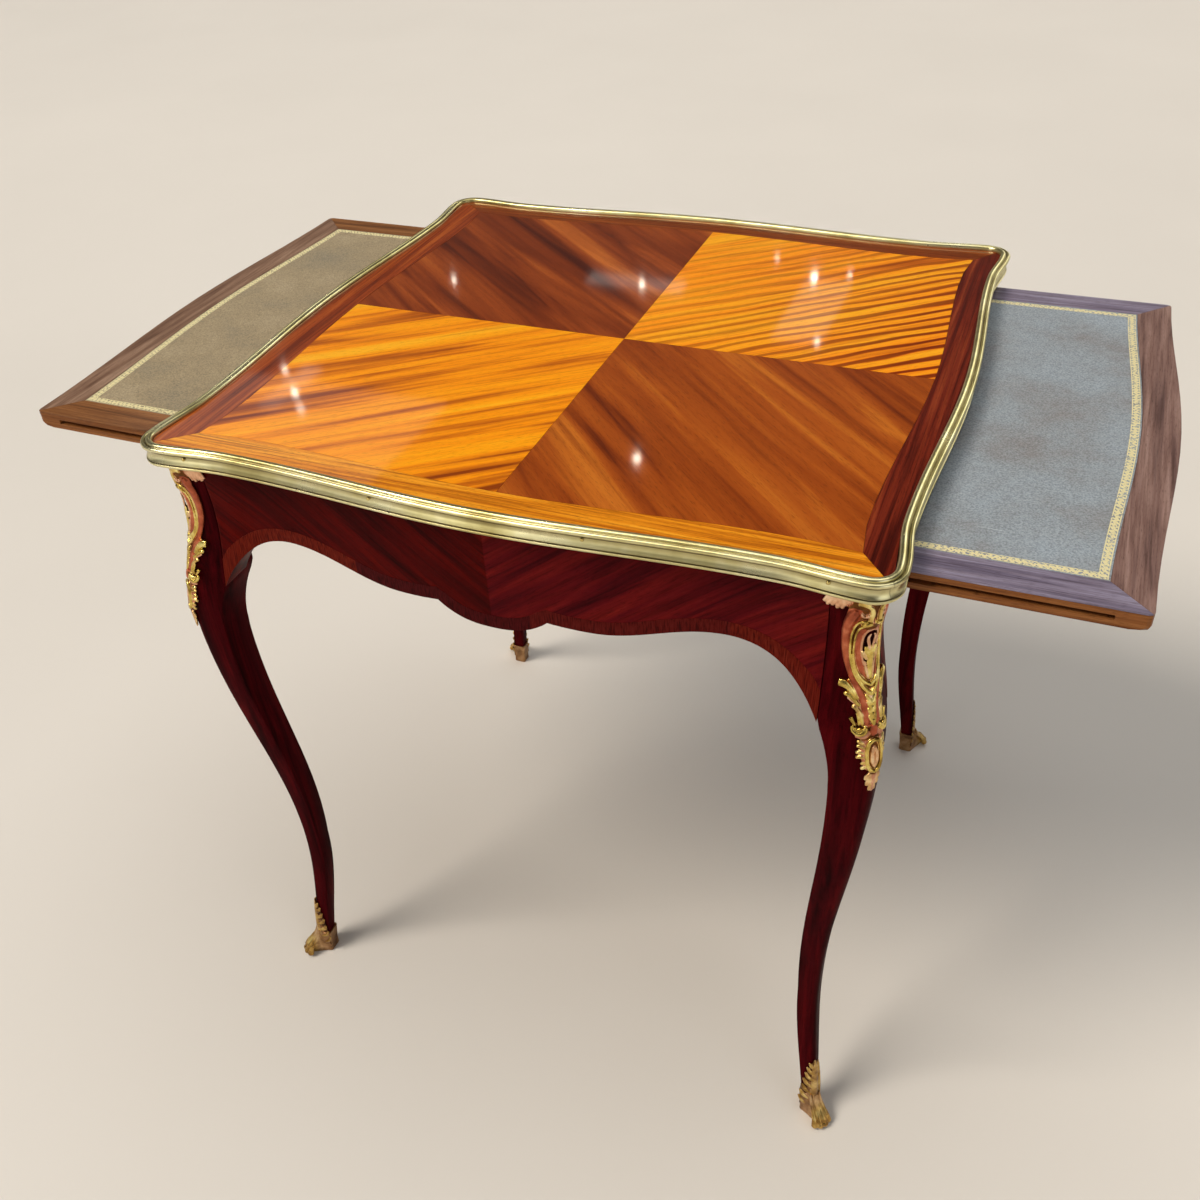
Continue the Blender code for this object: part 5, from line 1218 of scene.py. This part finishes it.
def setStudio():
    bpy.ops.mesh.primitive_plane_add(size=studio["floorSize"], location=studio["floorMiddle"])
    floor = applyPlace(bpy.context.object, "studio_floor")
    made, add, shader = startMaterial("matt pale floor paint")
    place = (add("TexCoord"), "Object")
    speckle = add("TexNoise", {"Vector": place, "Scale": 1.3, "Detail": 3.0})
    tone = add("ValToRGB", {"Fac": speckle}, studio["floorColours"])
    feed(shader, {"Base Color": tone, "Roughness": 0.75, "Specular IOR Level": 0.2})
    floor.data.materials.append(made)
    world = bpy.data.worlds.new("soft studio")
    bpy.context.scene.world = world
    world.use_nodes = True
    add = partial(addNode, world.node_tree)
    apart = add("SeparateXYZ", {"Vector": (add("TexCoord"), "Generated")})
    sky = add("ValToRGB", {"Fac": (apart, "Z")}, studio["sky"])
    # The camera itself sees a plain pale backdrop beyond the floor
    backdrop = add("Mix", {"Factor": (add("LightPath"), "Is Camera Ray"), "A": sky,
                           "B": hexColour(studio["backdrop"])}, **blend)
    feed(world.node_tree.nodes["Background"], {"Color": backdrop, "Strength": studio["skyStrength"]})


def addLamp(name, kind, place, aim, power, colour, **settings):
    bpy.ops.object.light_add(type=kind, location=place)
    lamp = bpy.context.object
    lamp.name = name
    lamp.rotation_euler = (Vector(aim) - Vector(place)).to_track_quat("-Z", "Y").to_euler()
    lamp.data.energy = power
    lamp.data.color = hexColour(colour)[:3]
    for key, value in settings.items():
        setattr(lamp.data, key, value)
    return lamp


setStudio()
# Each sun is there twice: its light falls on everything, its shine on all but the polished top, where it
# would show as a disc
unshone = bpy.data.collections.new("polish that shows no sun")
for name, node in nodes.items():
    if name.startswith(("veneer_", "band_")):
        unshone.objects.link(node)
for row in unshone.collection_objects:
    row.light_linking.link_state = "EXCLUDE"
for name, place, aim, power, colour, width in studio["suns"]:
    light = addLamp(name + " light", "SUN", place, aim, power, colour, angle=math.radians(width))
    light.visible_glossy = False
    shine = addLamp(name + " shine", "SUN", place, aim, power, colour, angle=math.radians(width))
    shine.visible_diffuse = False
    shine.light_linking.receiver_collection = unshone
for name, (place, aim, power, colour, width, height) in studio["windows"].items():
    window = addLamp(name, "AREA", place, aim, power, colour, shape="RECTANGLE", size=width, size_y=height)
# The last of them shines on the brass alone
litBrass = bpy.data.collections.new("brass lit from behind")
for side in sideWays:
    litBrass.objects.link(bpy.data.objects["brass_moulding_" + side])
window.visible_diffuse = False
window.light_linking.receiver_collection = litBrass
# Small lamps and soft shades whose images lie on the polish, each by the place of its image on the top and
# then a bulb's radius and strength, or a shade's width, length and radiance
glints = {"height": 2.4, "bulbs": [(0.1499, 0.1942, 0.012, 0.40), (0.1846, 0.2119, 0.008, 0.08),
                                   (0.1888, 0.0455, 0.010, 0.12), (0.0979, 0.2371, 0.010, 0.06),
                                   (-0.0216, 0.1282, 0.012, 0.22), (-0.2273, 0.0859, 0.009, 0.14),
                                   (-0.2881, -0.1557, 0.012, 0.14), (-0.2516, -0.1936, 0.012, 0.24),
                                   (-0.2285, -0.2188, 0.014, 0.12), (0.0975, -0.2095, 0.012, 0.30)],
          "shades": [(0.168, 0.115, 0.05, 0.15, 1.0), (-0.03, 0.132, 0.11, 0.03, 1.5),
                     (-0.262, -0.185, 0.022, 0.085, 1.8), (-0.25, -0.27, 0.30, 0.20, 0.7)]}
# Focal length, optical centre and width of the picture are in its pixels, the sensor in millimetres
camera = {"place": (0.40555, -1.00305, 1.26052), "turn": (52.179, 2.841, 21.966), "focal": 1181.4,
          "centre": (593.1, 597.8), "picture": 1200, "sensor": 36.0}


def setCamera():
    turn = [math.radians(angle) for angle in camera["turn"]]
    bpy.ops.object.camera_add(location=camera["place"], rotation=turn)
    made = bpy.context.object
    made.data.sensor_width = camera["sensor"]
    made.data.lens = camera["sensor"] * camera["focal"] / camera["picture"]
    made.data.shift_x = (camera["picture"] / 2 - camera["centre"][0]) / camera["picture"]
    made.data.shift_y = (camera["centre"][1] - camera["picture"] / 2) / camera["picture"]
    bpy.context.scene.camera = made


setCamera()
# The camera's own image under the polish, from which the lamps' images line up with the lamps
below = Vector((camera["place"][0], camera["place"][1], 2 * tablePlan["wood"] - camera["place"][2]))


def mirrored(across, along):
    # Where a lamp hangs for its image to lie there on the top, and how much larger it is than its image
    step = Vector((across, along, tablePlan["wood"])) - below
    share = (glints["height"] - below.z) / step.z
    return below + step * share, share


for number, (across, along, radius, power) in enumerate(glints["bulbs"]):
    spot, share = mirrored(across, along)
    addLamp("room lamp %d" % number, "POINT", spot, (0, 0, 0), power, "#FFF4E0", shadow_soft_size=radius)
for number, (across, along, width, length, radiance) in enumerate(glints["shades"]):
    spot, share = mirrored(across, along)
    power = math.pi * width * length * share ** 2 * radiance
    addLamp("lamp shade %d" % number, "AREA", spot, spot - Vector((0, 0, 1)), power, "#FFF8EE",
            shape="RECTANGLE", size=width * share, size_y=length * share)
print("studio ready")

bpy.context.scene.view_settings.view_transform = "Standard"
